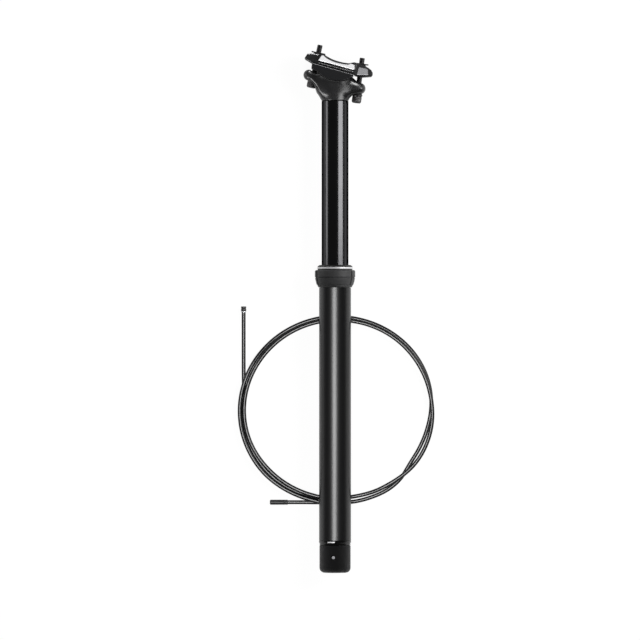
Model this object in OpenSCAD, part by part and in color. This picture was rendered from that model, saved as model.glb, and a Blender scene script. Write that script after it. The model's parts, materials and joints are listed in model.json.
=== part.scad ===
// Dropper seatpost lying on its side on a flat surface, with its coiled control housing under it.
// The post pieces are drawn upright: X to the front of the bicycle, Z up the post from the insertion
// line, which is the underside of the collar. laid() turns them down, so that the post runs along +Y,
// its right side faces up, and the origin is on the post's axis at the insertion line.

/* [Outer tube] */
// Outside diameter of the outer tube, which slides into the bicycle's seat tube
tube_d = 31.6; // [31.2:0.1:32.4]
// Wall of the outer tube
tube_wall = 1.6; // [1.5:0.05:1.7]
// Room in the outer tube below the stanchion when the post is down
foot_room = 24; // [23:1:64]
// Length of the thinned neck inside the collar
neck_len = 9; // [7:0.5:9]
// Step from the outer tube in to the neck, on the radius
neck_step = 0.6; // [0.5:0.05:0.8]
// Length of the upper guide bushing
upper_bushing_len = 33; // [20:1:36]
// Clearance of a running fit, on the radius
run_fit = 0.06; // [0.02:0.01:0.09]
// Clearance between pieces that sit still in each other, on the radius
seat_gap = 0.05; // [0.02:0.01:0.1]

/* [Collar and seal] */
// Step from the outer tube out to the collar, on the radius
collar_step = 4.2; // [3.6:0.1:6]
// Height of the collar
collar_h = 17.6; // [16:0.2:20]
// Step from the outer tube out to the foot of the collar's cone, on the radius
collar_foot_step = 2.6; // [1.8:0.1:3.2]
// Height at which the collar's upper cylinder starts
collar_cone_h = 10.2; // [9.4:0.2:12]
// Number of spanner notches in the collar
notch_count = 3; // [2:1:6]
// Width of a spanner notch
notch_w = 1.6; // [1:0.1:2.4]
// Depth of a spanner notch
notch_depth = 1.1; // [0.6:0.1:1.6]
// Step from the outer tube out to the seal's body inside the collar, on the radius
seal_body_step = 0.55; // [0.3:0.05:0.8]
// Step from the seal's body out to its lips, on the radius
seal_lip_step = 0.85; // [0.5:0.05:1.1]
// Height of the lower lip
seal_lip_h = 0.9; // [0.6:0.1:1.4]
// Height of the wiping lip above the ring
wiper_h = 2; // [1.4:0.1:3]
// Thickness of the wiping lip at its top edge
wiper_thick = 1.94; // [1.2:0.02:2.6]
// Step from the seal's body out to the metal ring round it, on the radius
seal_ring_step = 1.3; // [1:0.05:1.6]
// Height of the metal ring
seal_ring_h = 2; // [1.4:0.1:2.6]

/* [Stanchion] */
// Gap between the outer tube's bore and the stanchion, where the guides run
guide_gap = 0.9; // [0.8:0.05:1]
// Wall of the stanchion
stanchion_wall = 1.6; // [1.5:0.05:1.7]
// How far the post drops
travel = 150; // [120:1:150]
// Length of stanchion that still shows when the post is down
stanchion_spare = 12.6; // [6:0.2:24]
// Length of the stanchion below the insertion line when the post is up
stanchion_overlap = 76; // [74:1:80]
// Length of the lower guide bushing
lower_bushing_len = 14.6; // [12:0.2:15]
// Wall of the lower guide bushing
lower_bushing_wall = 1.19; // [1.1:0.01:1.24]
// Number of anti-rotation keys
key_count = 3; // [2:1:4]
// Width of a key
key_w = 3; // [2:0.1:3.6]
// Length of a key
key_len = 12; // [8:0.5:14]
// How deep a key reaches in the outer tube's wall
key_bite = 0.7; // [0.5:0.05:0.8]
// Depth of a key's pocket in the stanchion
key_pocket_depth = 0.75; // [0.5:0.05:0.8]

/* [Gas spring] */
// Gap between the stanchion's bore and the cartridge
cartridge_gap = 2.2; // [1.8:0.1:2.8]
// Wall of the cartridge
cartridge_wall = 1; // [0.8:0.05:1.2]
// Diameter of the piston rod
rod_d = 8; // [7:0.1:8.6]
// Diameter of the bore down the rod
rod_bore = 3; // [2.8:0.1:3.4]
// Length of the piston
piston_len = 8; // [7:0.5:10]
// Length of the floating piston
floater_len = 10; // [8:0.5:11]
// Height of the floating piston's underside above the insertion line
floater_z = 98; // [94:1:100]
// Section diameter of the piston seals
seal_wire = 1.1; // [0.9:0.05:1.3]
// Diameter of the valve pin's stem
valve_d = 2.4; // [1.8:0.1:2.6]
// Diameter of the valve pin's foot
valve_foot_d = 5; // [4.6:0.1:6]

/* [Head] */
// How far the rear clamp bolt leans to the front
rear_lean = 12.1; // [11:0.1:13]
// How far the front clamp bolt leans to the front
front_lean = 7.8; // [7:0.1:9]
// Width of the head's two ears
ear_w = 18; // [15:0.5:20]
// Radius of the ears' rounded ends
ear_r = 5.4; // [5:0.1:6]
// Length of the head's spigot inside the stanchion
spigot_len = 25; // [24:0.5:25.2]
// Diameter of the clamp bolts
bolt_d = 5; // [4.6:0.1:5.4]
// Diameter of the clamp bolts' heads
bolt_head_d = 9.5; // [8.5:0.1:10]
// Height of the clamp bolts' heads
bolt_head_h = 7.6; // [5:0.1:9]
// Width across the corners of the bolts' hexagon sockets
hex_d = 4.6; // [4:0.1:5.8]
// Length of the rear clamp bolt above its pivot
rear_bolt_len = 37; // [34:0.5:40]
// Length of the front clamp bolt above its pivot
front_bolt_len = 38.7; // [36:0.1:42]
// Radius of the ball seats under the ears
ball_r = 5.5; // [5:0.1:5.7]

/* [Saddle clamp] */
// Diameter of the saddle's rails
rail_d = 7; // [7:0.1:7.4]
// Distance between the middles of the two rails
rail_spacing = 44; // [43:0.5:45]
// How far the rail clamp points down at the front
clamp_tilt = 14.5; // [13:0.5:16]
// Half of the gap between the clamp's two jaws
jaw_gap = 2.1; // [1.8:0.1:2.4]
// Length of the rail channels behind their middle
channel_rear = 17.5; // [14:0.5:18]
// Length of the rail channels in front of their middle
channel_front = 20.3; // [16:0.1:20.4]
// Radius of the round underside that the lower cradle tilts on
cradle_r = 26.3; // [26:0.1:26.6]
// Width of the upper clamp's middle beam
beam_w = 22; // [20:0.5:26]
// Radius of the round nuts that the bolts pull on
nut_r = 5; // [4.4:0.1:5.2]
// Width of the round nuts
nut_w = 14; // [10:0.5:16]
// Length of the flat on top of a nut
nut_flat = 14; // [12:0.5:15]

/* [Actuator] */
// Step from the outer tube in to the actuator's housing, on the radius
actuator_step = 0.4; // [0.3:0.05:0.8]
// Height of the actuator's housing
actuator_h = 27.1; // [26:0.1:32]
// Radius of the housing's lower edge
actuator_edge_r = 5; // [2:0.5:6]
// Diameter of the lever's pivot pin
pivot_d = 3; // [2.6:0.1:3.2]
// Thickness of the lever
lever_t = 6; // [5:0.1:7]
// Distance from the cable barrel out to the housing's skin, less the pivot's own offset
barrel_inset = 7.5; // [7.3:0.05:8.2]
// Diameter of the cable barrel
barrel_d = 4.4; // [4:0.1:4.6]
// Diameter of the socket that the control housing's ferrule plugs into
socket_d = 5.1; // [5:0.05:5.4]
// Depth of that socket
socket_depth = 5; // [4:0.1:5]

/* [Control housing] */
// Outside diameter of the control housing
housing_d = 4; // [3.8:0.1:4]
// Half width of the coil, to the middle of the housing
coil_rx = 95.1; // [90:0.1:100]
// Half length of the coil, to the middle of the housing
coil_ry = 91.6; // [88:0.1:96]
// Radius of the fold where the doubled housing turns back under the post
fold_r = 12; // [12:0.1:12.2]
// Diameter of the long ferrule on the lower end
lower_ferrule_d = 5; // [4.6:0.1:5]
// Length of that ferrule
lower_ferrule_len = 17.7; // [12:0.1:20]
// Diameter of the short cap on the upper end
upper_ferrule_d = 5.2; // [4.8:0.1:5.2]
// Length of that cap
upper_ferrule_len = 4.9; // [4:0.1:8]
// Length of the bright ring below the cap
upper_ring_len = 1.1; // [0.8:0.1:2]

/* [Hidden] */
$fn = 96;
SMALL = 32;

// Outer tube and collar
tube_bore = tube_d - 2 * tube_wall;
tube_len = stanchion_overlap + travel + foot_room;
neck_d = tube_d - 2 * neck_step;
collar_d = tube_d + 2 * collar_step;
collar_foot_d = tube_d + 2 * collar_foot_step;
seal_body_d = tube_d + 2 * seal_body_step;
seal_lip_d = seal_body_d + 2 * seal_lip_step;
seal_ring_d = seal_body_d + 2 * seal_ring_step;
seal_z = neck_len + 0.1;
seal_lip_z = collar_h + 0.1;
seal_ring_z = seal_lip_z + seal_lip_h;
seal_top_z = seal_ring_z + seal_ring_h + wiper_h;
foot_z = -tube_len;
flange_h = 4.9;
plug_len = 9;
plug_top_z = foot_z + plug_len;
keyway_side = 0.05;
keyway_floor = 0.1;
keyway_top_z = -40;

// Stanchion
stanchion_d = tube_bore - 2 * guide_gap;
stanchion_r = stanchion_d / 2;
wiper_top_d = stanchion_d + 2 * (run_fit + wiper_thick);
key_reach = tube_bore / 2 + key_bite;
stanchion_bore = stanchion_d - 2 * stanchion_wall;
stanchion_foot_z = -stanchion_overlap;
head_z = seal_top_z + travel + stanchion_spare;
bushing_seat_r = tube_bore / 2 - run_fit - lower_bushing_wall;
ring_z = stanchion_foot_z + 0.2;
ring_t = 1;
lower_bushing_z = ring_z + ring_t + 0.2;
shoulder_z = lower_bushing_z + lower_bushing_len + 0.2;
key_z = shoulder_z + 3.8;
key_pocket_r = stanchion_r - key_pocket_depth;

// Gas spring
cartridge_d = stanchion_bore - 2 * cartridge_gap;
cartridge_bore = cartridge_d - 2 * cartridge_wall;
piston_r = cartridge_bore / 2 - run_fit;
seal_head_z = stanchion_foot_z + 6;
seal_head_len = 12;
bumper_z = seal_head_z + seal_head_len + 0.1;
bumper_len = 3.9;
piston_z = bumper_z + bumper_len + 0.3;
cap_z = floater_z + 46;
cap_len = 6;
spigot_z = head_z - spigot_len;
rod_foot_z = foot_z - flange_h - 2.1;
nut_len = 5;
piston_nut_len = 4;
rod_top_z = piston_z + piston_len + piston_nut_len + 0.8;

// Actuator
actuator_d = tube_d - 2 * actuator_step;
lever_reach = actuator_d / 2 - barrel_inset;
cavity_side = 3.7;
actuator_top_z = foot_z - flange_h - 0.2;
actuator_foot_z = actuator_top_z - actuator_h;
pivot_x = -1.6;
pivot_z = actuator_top_z - 11.8;
pad_h = 4.8;
pad_reach = 5.1;
barrel_x = pivot_x - lever_reach;
cavity_floor_z = actuator_foot_z + socket_depth + 1.2;
valve_foot_z = pivot_z + pad_h + 0.15;
valve_foot_h = 1.2;
spring_z0 = valve_foot_z + valve_foot_h + 0.05;
spring_z1 = rod_foot_z - 0.05;
screw_d = 3;
screw_at = (actuator_d / 2 - 4.1) / sqrt(2);

// Saddle clamp. The jaws' frame has its origin midway between the rails, u along them and w across.
rail_r = rail_d / 2 + 0.05;
clamp_half_w = rail_spacing / 2 + sqrt(rail_r * rail_r - (jaw_gap - 0.05) * (jaw_gap - 0.05));
clamp_x = -0.45;
clamp_z = head_z + 33.5;
tilt_lift = 12.6;
pivot_u_rear = -18.8;
pivot_u_front = 25.5;
pivot_w = 6;
nut_swing = 5.6;
tilt_x = clamp_x + tilt_lift * sin(clamp_tilt);
tilt_z = clamp_z + tilt_lift * cos(clamp_tilt);

// Centres of the ball seats under the rear and the front ear
rear_seat = [-22.5, head_z + 19.1];
front_seat = [21.8, head_z + 4.1];
washer_foot = 1.15;
washer_bore = bolt_d + 0.2;

// Control housing. The surface that everything lies on is below the axis by the clamp's half width.
axis_height = clamp_half_w;
floor_z = -axis_height;
coil_x = 1.5;
coil_y = -122;
line_gap = 0.45;
layer = housing_d + line_gap;
upper_end_x = -90.4;
upper_cap_y = -18.7;
upper_end_y = upper_cap_y - upper_ferrule_len - upper_ring_len;
lower_end_y = -212.6;
lower_ferrule_x = -64.3;
lower_end_x = lower_ferrule_x + lower_ferrule_len;

function unit(v) = v / norm(v);
function arc(c, r, a0, a1, n) = [for (k = [0:n]) c + r * [cos(a0 + (a1 - a0) * k / n), sin(a0 + (a1 - a0) * k / n)]];

module laid() {
    rotate([-90, 0, 0]) children();
}

module ring(r_out, r_in, z0, z1) {
    translate([0, 0, z0]) difference() {
        cylinder(r = r_out, h = z1 - z0);
        translate([0, 0, -1]) cylinder(r = r_in, h = z1 - z0 + 2);
    }
}

// A solid drawn in the X-Z plane and made w wide along Y
module slab(w) {
    rotate([90, 0, 0]) translate([0, 0, -w / 2]) linear_extrude(w) children();
}

module outer_tube() {
    color("#1b1b1d") laid() difference() {
        union() {
            translate([0, 0, foot_z]) cylinder(d = tube_d, h = tube_len);
            cylinder(d = neck_d, h = neck_len);
        }
        translate([0, 0, foot_z - 1]) cylinder(d = tube_bore, h = tube_len + neck_len + 2);
        for (k = [0:key_count - 1]) rotate(k * 360 / key_count) keyway();
    }
}

module keyway() {
    low = key_z - travel - 6;
    translate([0, -key_w / 2 - keyway_side, low])
        cube([key_reach + keyway_floor, key_w + 2 * keyway_side, keyway_top_z - low]);
}

module collar() {
    r = collar_d / 2;
    bevel = 1;
    color("#3a3a3c") laid() difference() {
        rotate_extrude() polygon([
            [neck_d / 2 + seat_gap, 0], [tube_d / 2 + 0.8, 0], [collar_foot_d / 2, 3.8], [r, collar_cone_h],
            [r, collar_h - bevel], [r - 1.4, collar_h], [seal_body_d / 2 + seat_gap, collar_h],
            [seal_body_d / 2 + seat_gap, neck_len], [neck_d / 2 + seat_gap, neck_len]
        ]);
        for (k = [0:notch_count - 1]) rotate(-35 + k * 360 / notch_count)
            translate([r - notch_depth - 0.9, -notch_w / 2, 2.6]) cube([4, notch_w, collar_cone_h - 2.2]);
        ring(r + 1, r - 0.35, collar_cone_h + 0.9, collar_cone_h + 1.5);
    }
}

module upper_bushing() {
    color("#c9c2a8") laid()
        ring(tube_bore / 2 - seat_gap, stanchion_r + run_fit, neck_len - 0.2 - upper_bushing_len, neck_len - 0.2);
}

module wiper_seal() {
    inner = stanchion_r + run_fit;
    body = seal_body_d / 2;
    lip = seal_lip_d / 2;
    waist = body - 0.15;
    color("#101010") laid() rotate_extrude() polygon([
        [inner, seal_z], [body, seal_z], [body, seal_lip_z], [lip, seal_lip_z], [lip, seal_ring_z],
        [waist, seal_ring_z], [waist, seal_ring_z + seal_ring_h], [lip, seal_ring_z + seal_ring_h + 0.05],
        [lip, seal_top_z - 1.2], [wiper_top_d / 2, seal_top_z], [inner, seal_top_z]
    ]);
}

module seal_ring() {
    inner = seal_body_d / 2 - 0.15 + seat_gap;
    z = seal_ring_z + 0.03;
    edge = 0.25;
    color("#b9bcc0") laid() rotate_extrude() polygon([
        [inner, z], [seal_ring_d / 2, z], [seal_ring_d / 2, z + seal_ring_h - 0.05 - edge],
        [seal_ring_d / 2 - edge, z + seal_ring_h - 0.05], [inner, z + seal_ring_h - 0.05]
    ]);
}

module foot_plug() {
    bead = 1.9;
    rim = actuator_d / 2 - 0.05;
    color("#19191b") laid() difference() {
        rotate_extrude() polygon([
            [rod_d / 2 + seat_gap, foot_z - flange_h], [rim - 0.2, foot_z - flange_h],
            [rim, foot_z - flange_h + 0.3], [rim, foot_z - bead - 0.3], [tube_d / 2, foot_z - bead],
            [tube_d / 2, foot_z - 0.05], [tube_bore / 2 - seat_gap, foot_z - 0.05],
            [tube_bore / 2 - seat_gap, plug_top_z], [rod_d / 2 + seat_gap, plug_top_z]
        ]);
        for (s = [-1, 1]) translate([screw_at, s * screw_at, foot_z - flange_h - 1])
            cylinder(d = screw_d + 0.2, h = flange_h + 1 + 6.5, $fn = SMALL);
    }
}

module bottom_out_bumper() {
    color("#2c2c2c") laid()
        ring(stanchion_r - 0.3, 9, plug_top_z + 0.1, stanchion_foot_z - travel - 0.3);
}

module actuator_housing() {
    r = actuator_d / 2;
    e = actuator_edge_r;
    color("#202022") laid() difference() {
        rotate_extrude() polygon(concat(
            [[0, actuator_top_z], [0, actuator_foot_z]],
            arc([r - e, actuator_foot_z + e], e, -90, 0, 8),
            [[r, actuator_top_z - 0.3], [r - 0.3, actuator_top_z]]
        ));
        translate([barrel_x - cavity_side, -lever_t / 2 - 1.2, cavity_floor_z])
            cube([lever_reach + pad_reach + 2 * cavity_side + 2, lever_t + 2.4, actuator_top_z - cavity_floor_z + 1]);
        translate([pivot_x, 0, pivot_z]) rotate([90, 0, 0])
            cylinder(d = pivot_d + 2 * seat_gap, h = actuator_d + 2, center = true, $fn = SMALL);
        for (s = [-1, 1]) translate([pivot_x, s * (r + 4), pivot_z]) rotate([90, 0, 0])
            cylinder(d = pivot_d + 2, h = 10, center = true, $fn = SMALL);
        translate([barrel_x, 0, actuator_foot_z - 1])
            cylinder(d = socket_d, h = socket_depth + 1, $fn = 48);
        translate([barrel_x, 0, actuator_foot_z]) cylinder(d = 2, h = actuator_h / 2, $fn = SMALL);
        for (s = [-1, 1]) translate([screw_at, s * screw_at, actuator_foot_z - 1]) {
            cylinder(d = screw_d + 0.3, h = actuator_h + 2, $fn = SMALL);
            cylinder(d = screw_d + 2.9, h = 4.4, $fn = SMALL);
        }
    }
}

module actuator_screws() {
    color("#8d8f93") laid() for (s = [-1, 1]) translate([screw_at, s * screw_at, actuator_foot_z + 0.5])
        difference() {
            union() {
                cylinder(d = screw_d + 2.5, h = 2.8, $fn = SMALL);
                cylinder(d = screw_d, h = actuator_h + flange_h + 4.5, $fn = SMALL);
            }
            translate([0, 0, -1]) cylinder(d = screw_d, h = 2.4, $fn = 6);
        }
}

module lever_pivot_pin() {
    color("#d4d6d8") laid() translate([pivot_x, 0, pivot_z]) rotate([90, 0, 0])
        cylinder(d = pivot_d, h = actuator_d - 1.4, center = true, $fn = SMALL);
}

module actuator_lever() {
    boss = 3.4;
    color("#707378") laid() translate([pivot_x, 0, pivot_z]) difference() {
        slab(lever_t) union() {
            circle(r = boss, $fn = 48);
            translate([-lever_reach, 0]) circle(r = 3.2, $fn = 48);
            translate([-lever_reach, -2.4]) square([lever_reach, 4.8]);
            translate([-2.9, 0]) square([pad_reach + 2.9, pad_h]);
        }
        rotate([90, 0, 0]) cylinder(d = pivot_d + 2 * run_fit, h = lever_t + 2, center = true, $fn = SMALL);
        translate([-lever_reach, 0, 0]) {
            rotate([90, 0, 0]) cylinder(d = barrel_d + 2 * seat_gap, h = lever_t + 2, center = true, $fn = SMALL);
            translate([-0.9, -0.9, -6]) cube([1.8, 1.8, 6]);
        }
    }
}

module cable_barrel() {
    color("#c8a24c") laid() translate([barrel_x, 0, pivot_z]) difference() {
        rotate([90, 0, 0]) cylinder(d = barrel_d, h = lever_t + 1.6, center = true, $fn = SMALL);
        cylinder(d = 1.6, h = barrel_d + 2, center = true, $fn = SMALL);
        translate([0, -lever_t / 2, 0]) rotate([90, 0, 0])
            cylinder(d = 2.6, h = lever_t, center = true, $fn = SMALL);
    }
}

module cable_grub_screw() {
    color("#8d8f93") laid() translate([barrel_x, -lever_t / 2 - 0.7, pivot_z]) rotate([-90, 0, 0])
        difference() {
            cylinder(d = 2.5, h = 2.6, $fn = SMALL);
            translate([0, 0, -1]) cylinder(d = 1.4, h = 2, $fn = 6);
        }
}

module valve_pin() {
    color("#d4d6d8") laid() {
        translate([0, 0, valve_foot_z]) cylinder(d = valve_foot_d, h = valve_foot_h, $fn = SMALL);
        translate([0, 0, valve_foot_z]) cylinder(d = valve_d, h = piston_z - valve_foot_z + 2, $fn = SMALL);
    }
}

module valve_spring() {
    turns = 3;
    wire = 0.5;
    lead = (spring_z1 - spring_z0 - wire) / turns;
    coil = [for (k = [0:8 * turns]) [
        valve_d / 2 + 0.7, 45 * k, spring_z0 + wire / 2 + lead * k / 8
    ]];
    path = [for (p = coil) [p[0] * cos(p[1]), p[0] * sin(p[1]), p[2]]];
    color("#c0c2c5") laid() tube_along(path, wire, 6);
}

module piston_rod() {
    color("#d8dadc") laid() ring(rod_d / 2, rod_bore / 2, rod_foot_z, rod_top_z);
}

module rod_lock_nut() {
    color("#8d8f93") laid() translate([0, 0, plug_top_z + 0.1]) difference() {
        cylinder(r = 7.5, h = nut_len, $fn = 6);
        translate([0, 0, -1]) cylinder(d = rod_d + 2 * seat_gap, h = nut_len + 2);
    }
}

module grooved_piston(z, len, bore) {
    groove = seal_wire + 0.7;
    mid = z + len / 2;
    rotate_extrude() polygon([
        [bore, z], [piston_r, z], [piston_r, mid - groove / 2], [piston_r - seal_wire - 0.04, mid - groove / 2],
        [piston_r - seal_wire - 0.04, mid + groove / 2], [piston_r, mid + groove / 2], [piston_r, z + len],
        [bore, z + len]
    ]);
}

module o_ring(z) {
    rotate_extrude() translate([piston_r - 0.02 - seal_wire / 2, z]) circle(d = seal_wire, $fn = 24);
}

module gas_piston() {
    color("#b0863a") laid() grooved_piston(piston_z, piston_len, rod_d / 2 + seat_gap);
}

module piston_seal() {
    color("#141414") laid() o_ring(piston_z + piston_len / 2);
}

module piston_nut() {
    color("#8d8f93") laid() translate([0, 0, piston_z + piston_len + 0.05]) difference() {
        cylinder(r = 6.4, h = piston_nut_len, $fn = 6);
        translate([0, 0, -1]) cylinder(d = rod_d + 2 * seat_gap, h = piston_nut_len + 2);
    }
}

module stanchion() {
    edge = 0.4;
    color("#0e0e10") laid() difference() {
        union() {
            translate([0, 0, stanchion_foot_z]) cylinder(d = stanchion_d, h = head_z - edge - stanchion_foot_z);
            translate([0, 0, head_z - edge]) cylinder(r1 = stanchion_r, r2 = stanchion_r - edge, h = edge);
        }
        translate([0, 0, stanchion_foot_z - 1]) cylinder(d = stanchion_bore, h = head_z - stanchion_foot_z + 2);
        ring(stanchion_r + 1, bushing_seat_r, stanchion_foot_z - 1, shoulder_z);
        ring(stanchion_r + 1, bushing_seat_r - 0.6, ring_z - 0.05, ring_z + ring_t + 0.05);
        for (k = [0:key_count - 1]) rotate(k * 360 / key_count)
            translate([key_pocket_r, -key_w / 2 - 0.02, key_z - 0.1]) cube([3, key_w + 0.04, key_len + 0.2]);
    }
}

module lower_bushing() {
    color("#c9c2a8") laid()
        ring(tube_bore / 2 - run_fit, bushing_seat_r + seat_gap, lower_bushing_z, lower_bushing_z + lower_bushing_len);
}

module lower_retaining_ring() {
    color("#9a9ca0") laid() difference() {
        ring(stanchion_r + 0.6, bushing_seat_r - 0.55, ring_z, ring_z + ring_t);
        translate([0, -2, ring_z - 1]) cube([30, 4, 3]);
    }
}

module anti_rotation_keys() {
    color("#c8a24c") laid() for (k = [0:key_count - 1]) rotate(k * 360 / key_count)
        translate([key_pocket_r + 0.05, -key_w / 2, key_z])
            cube([key_reach - key_pocket_r - 0.05, key_w, key_len]);
}

module cartridge_tube() {
    color("#a8abb0") laid() ring(cartridge_d / 2, cartridge_bore / 2, seal_head_z, cap_z + cap_len);
}

module cartridge_spacer() {
    color("#303034") laid()
        ring(stanchion_bore / 2 - seat_gap, cartridge_d / 2 + seat_gap, seal_head_z - 2, seal_head_z + 4);
}

module cartridge_seal_head() {
    color("#b0863a") laid() rotate_extrude() polygon([
        [rod_d / 2 + run_fit, seal_head_z - 3], [cartridge_d / 2, seal_head_z - 3],
        [cartridge_d / 2, seal_head_z - 0.05], [cartridge_bore / 2 - seat_gap, seal_head_z - 0.05],
        [cartridge_bore / 2 - seat_gap, seal_head_z + seal_head_len],
        [rod_d / 2 + run_fit, seal_head_z + seal_head_len]
    ]);
}

module top_out_bumper() {
    color("#2c2c2c") laid() ring(cartridge_bore / 2 - 0.9, rod_d / 2 + 0.3, bumper_z, bumper_z + bumper_len);
}

module floating_piston() {
    color("#b0863a") laid() difference() {
        grooved_piston(floater_z, floater_len, 0);
        translate([0, 0, floater_z + 3]) cylinder(r = 5, h = floater_len);
    }
}

module floating_piston_seal() {
    color("#141414") laid() o_ring(floater_z + floater_len / 2);
}

module cartridge_cap() {
    bore = 2.6;
    inner = cartridge_bore / 2 - seat_gap;
    shelf = cap_z + cap_len + 0.05;
    color("#8d8f93") laid() rotate_extrude() polygon([
        [bore, cap_z], [inner, cap_z], [inner, shelf], [cartridge_d / 2, shelf],
        [cartridge_d / 2, spigot_z - 0.1], [5, spigot_z - 0.1], [5, spigot_z + 16], [bore, spigot_z + 16]
    ]);
}

module fill_valve() {
    color("#c8a24c") laid() {
        translate([0, 0, cap_z + 2]) cylinder(r = 2.5, h = spigot_z + 17 - cap_z - 2, $fn = SMALL);
        translate([0, 0, spigot_z + 17]) cylinder(r = 1.1, h = 3, $fn = SMALL);
    }
}

module rear_bolt_frame() {
    translate([rear_seat[0], 0, rear_seat[1]]) rotate([0, rear_lean, 0]) children();
}

module front_bolt_frame() {
    translate([front_seat[0], 0, front_seat[1]]) rotate([0, front_lean, 0]) children();
}

module head_side() {
    trough_r = cradle_r + run_fit;
    polygon(concat(
        [[-stanchion_r, head_z], [-14.2, head_z + 2], [-15.4, head_z + 5.2], [-16.9, head_z + 8.4],
         [-18.3, head_z + 11.4], [-17.9, head_z + 15.2], [-17, head_z + 19.9]],
        arc([-26, head_z + 25.6], ear_r, 250, 80, 10),
        [[-23.6, head_z + 29.7], [-22.7, head_z + 27.6], [-18.4, head_z + 26.7]],
        arc([tilt_x, tilt_z], trough_r, 226.5, 286, 16),
        [[11.7, head_z + 19.5], [17.6, head_z + 20], [22.5, head_z + 19.4]],
        arc([25, head_z + 12.6], ear_r, 72, -68, 8),
        [[15.4, head_z + 5], [13.9, head_z + 2], [stanchion_r, head_z]]
    ));
}

module head_front() {
    polygon([
        [-13.3, head_z - 1], [-13.3, head_z + 4], [-12.6, head_z + 12], [-11.2, head_z + 22], [-8.5, head_z + 33],
        [8.5, head_z + 33], [11.2, head_z + 22], [12.6, head_z + 12], [13.3, head_z + 4], [13.3, head_z - 1]
    ]);
}

module head_top() {
    union() {
        circle(r = stanchion_r);
        translate([-14, -stanchion_r + 1]) square([26, 2 * stanchion_r - 2]);
        translate([-24, -ear_w / 2]) square([47.5, ear_w]);
        translate([-24, 0]) scale([0.86, 1]) circle(d = ear_w);
        translate([23.5, 0]) scale([0.86, 1]) circle(d = ear_w);
    }
}

module bolt_hole(pivot_room) {
    cylinder(d = bolt_d + pivot_room, h = 40);
    sphere(r = ball_r + run_fit);
    translate([0, 0, -14]) cylinder(r = ball_r + 0.4, h = 14 + washer_foot + 0.5);
}

module post_head() {
    color("#1d1d1f") laid() difference() {
        union() {
            intersection() {
                slab(60) head_side();
                rotate([90, 0, 90]) translate([0, 0, -40]) linear_extrude(80) head_front();
                translate([0, 0, head_z - 1]) linear_extrude(60) head_top();
                translate([0, 0, head_z]) cylinder(r1 = stanchion_r, r2 = stanchion_r + 44, h = 40);
            }
            translate([0, 0, spigot_z]) cylinder(d = stanchion_bore - 2 * seat_gap, h = spigot_len + 2);
        }
        translate([0, 0, spigot_z - 1]) cylinder(r = 5.1, h = spigot_len - 0.5, $fn = SMALL);
        rear_bolt_frame() bolt_hole(1.6);
        front_bolt_frame() bolt_hole(1.6);
    }
}

module clamp_frame() {
    translate([clamp_x, 0, clamp_z]) rotate([0, clamp_tilt, 0]) children();
}

module rail_channels() {
    for (s = [-1, 1]) translate([0, s * rail_spacing / 2, 0]) rotate([0, 90, 0])
        cylinder(r = rail_r, h = 120, center = true, $fn = 64);
}

module lower_cradle() {
    pocket_w = 6.4;
    color("#26262a") laid() clamp_frame() difference() {
        slab(2 * clamp_half_w) polygon(concat(
            [[channel_front, -jaw_gap], [-channel_rear - 3.4, -jaw_gap], [-channel_rear - 3.1, -7],
             [-channel_rear - 1.3, -8.1]],
            arc([0, tilt_lift], cradle_r, 235.5, 317, 20),
            [[channel_front, -4.6]]
        ));
        rail_channels();
        translate([-60, -3.3, -20]) cube([60 - 14, 6.6, 30]);
        for (s = [-1, 1]) translate([-12, s * 19 - pocket_w / 2, -20]) cube([26, pocket_w, 13.4]);
    }
}

// The seat of a nut and the slot of its bolt, cut over the whole turn of the nut in the clamp
module nut_room(lean) {
    slant = tan(nut_swing);
    mouth = nut_r - 0.05;
    side = nut_flat / 2 + 0.8;
    bolt_room = bolt_d / 2 + 0.4;
    rotate([90, 0, 0]) cylinder(r = nut_r + run_fit, h = nut_w + 1, center = true);
    rotate([0, lean, 0]) {
        slab(nut_w + 0.6) polygon([
            [-mouth, 0.4], [mouth, 0.4], [mouth + 0.35, 2.85 - (mouth + 0.35) * slant],
            [side, 2.85 - side * slant], [side + 0.6, 12], [-side - 0.6, 12], [-side, 2.85 - side * slant],
            [-mouth - 0.35, 2.85 - (mouth + 0.35) * slant]
        ]);
        slab(bolt_d + 1) polygon([
            [-bolt_room, 0.2], [bolt_room, 0.2], [bolt_room + 20 * slant, -20], [-bolt_room - 20 * slant, -20]
        ]);
    }
}

module upper_clamp() {
    color("#2a2a2d") laid() clamp_frame() difference() {
        union() {
            slab(beam_w) polygon([
                [-30.8, 0.8], [-30.3, 4.6], [-28.8, 6.9], [-26.3, 8.2], [-10.8, 8.2], [-8, 7.6], [-4.5, 6.6],
                [0.9, 6], [7, 5.9], [13, 6.3], [17, 7.8], [19.6, 8.2], [31.5, 8.2], [34.6, 6.6], [37.4, 4.8],
                [38.7, 2.8], [38.8, 0.6], [37.6, -0.9], [23.2, -2.7], [21, -2.5], [20.9, 1.2], [-17, 1.2],
                [-17.4, -0.9], [-21.3, -1.2]
            ]);
            slab(2 * clamp_half_w) polygon([
                [-channel_rear, jaw_gap], [-channel_rear + 2.1, 9.6], [-12, 8.6], [-8.8, 6.8], [-4, 6.1],
                [1, 5.7], [7, 5.7], [12.6, 6.3], [17.6, 8.6], [channel_front, 8.8], [channel_front, jaw_gap]
            ]);
        }
        rail_channels();
        translate([pivot_u_rear, 0, pivot_w]) nut_room(rear_lean - clamp_tilt);
        translate([pivot_u_front, 0, pivot_w]) nut_room(front_lean - clamp_tilt);
    }
}

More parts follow.
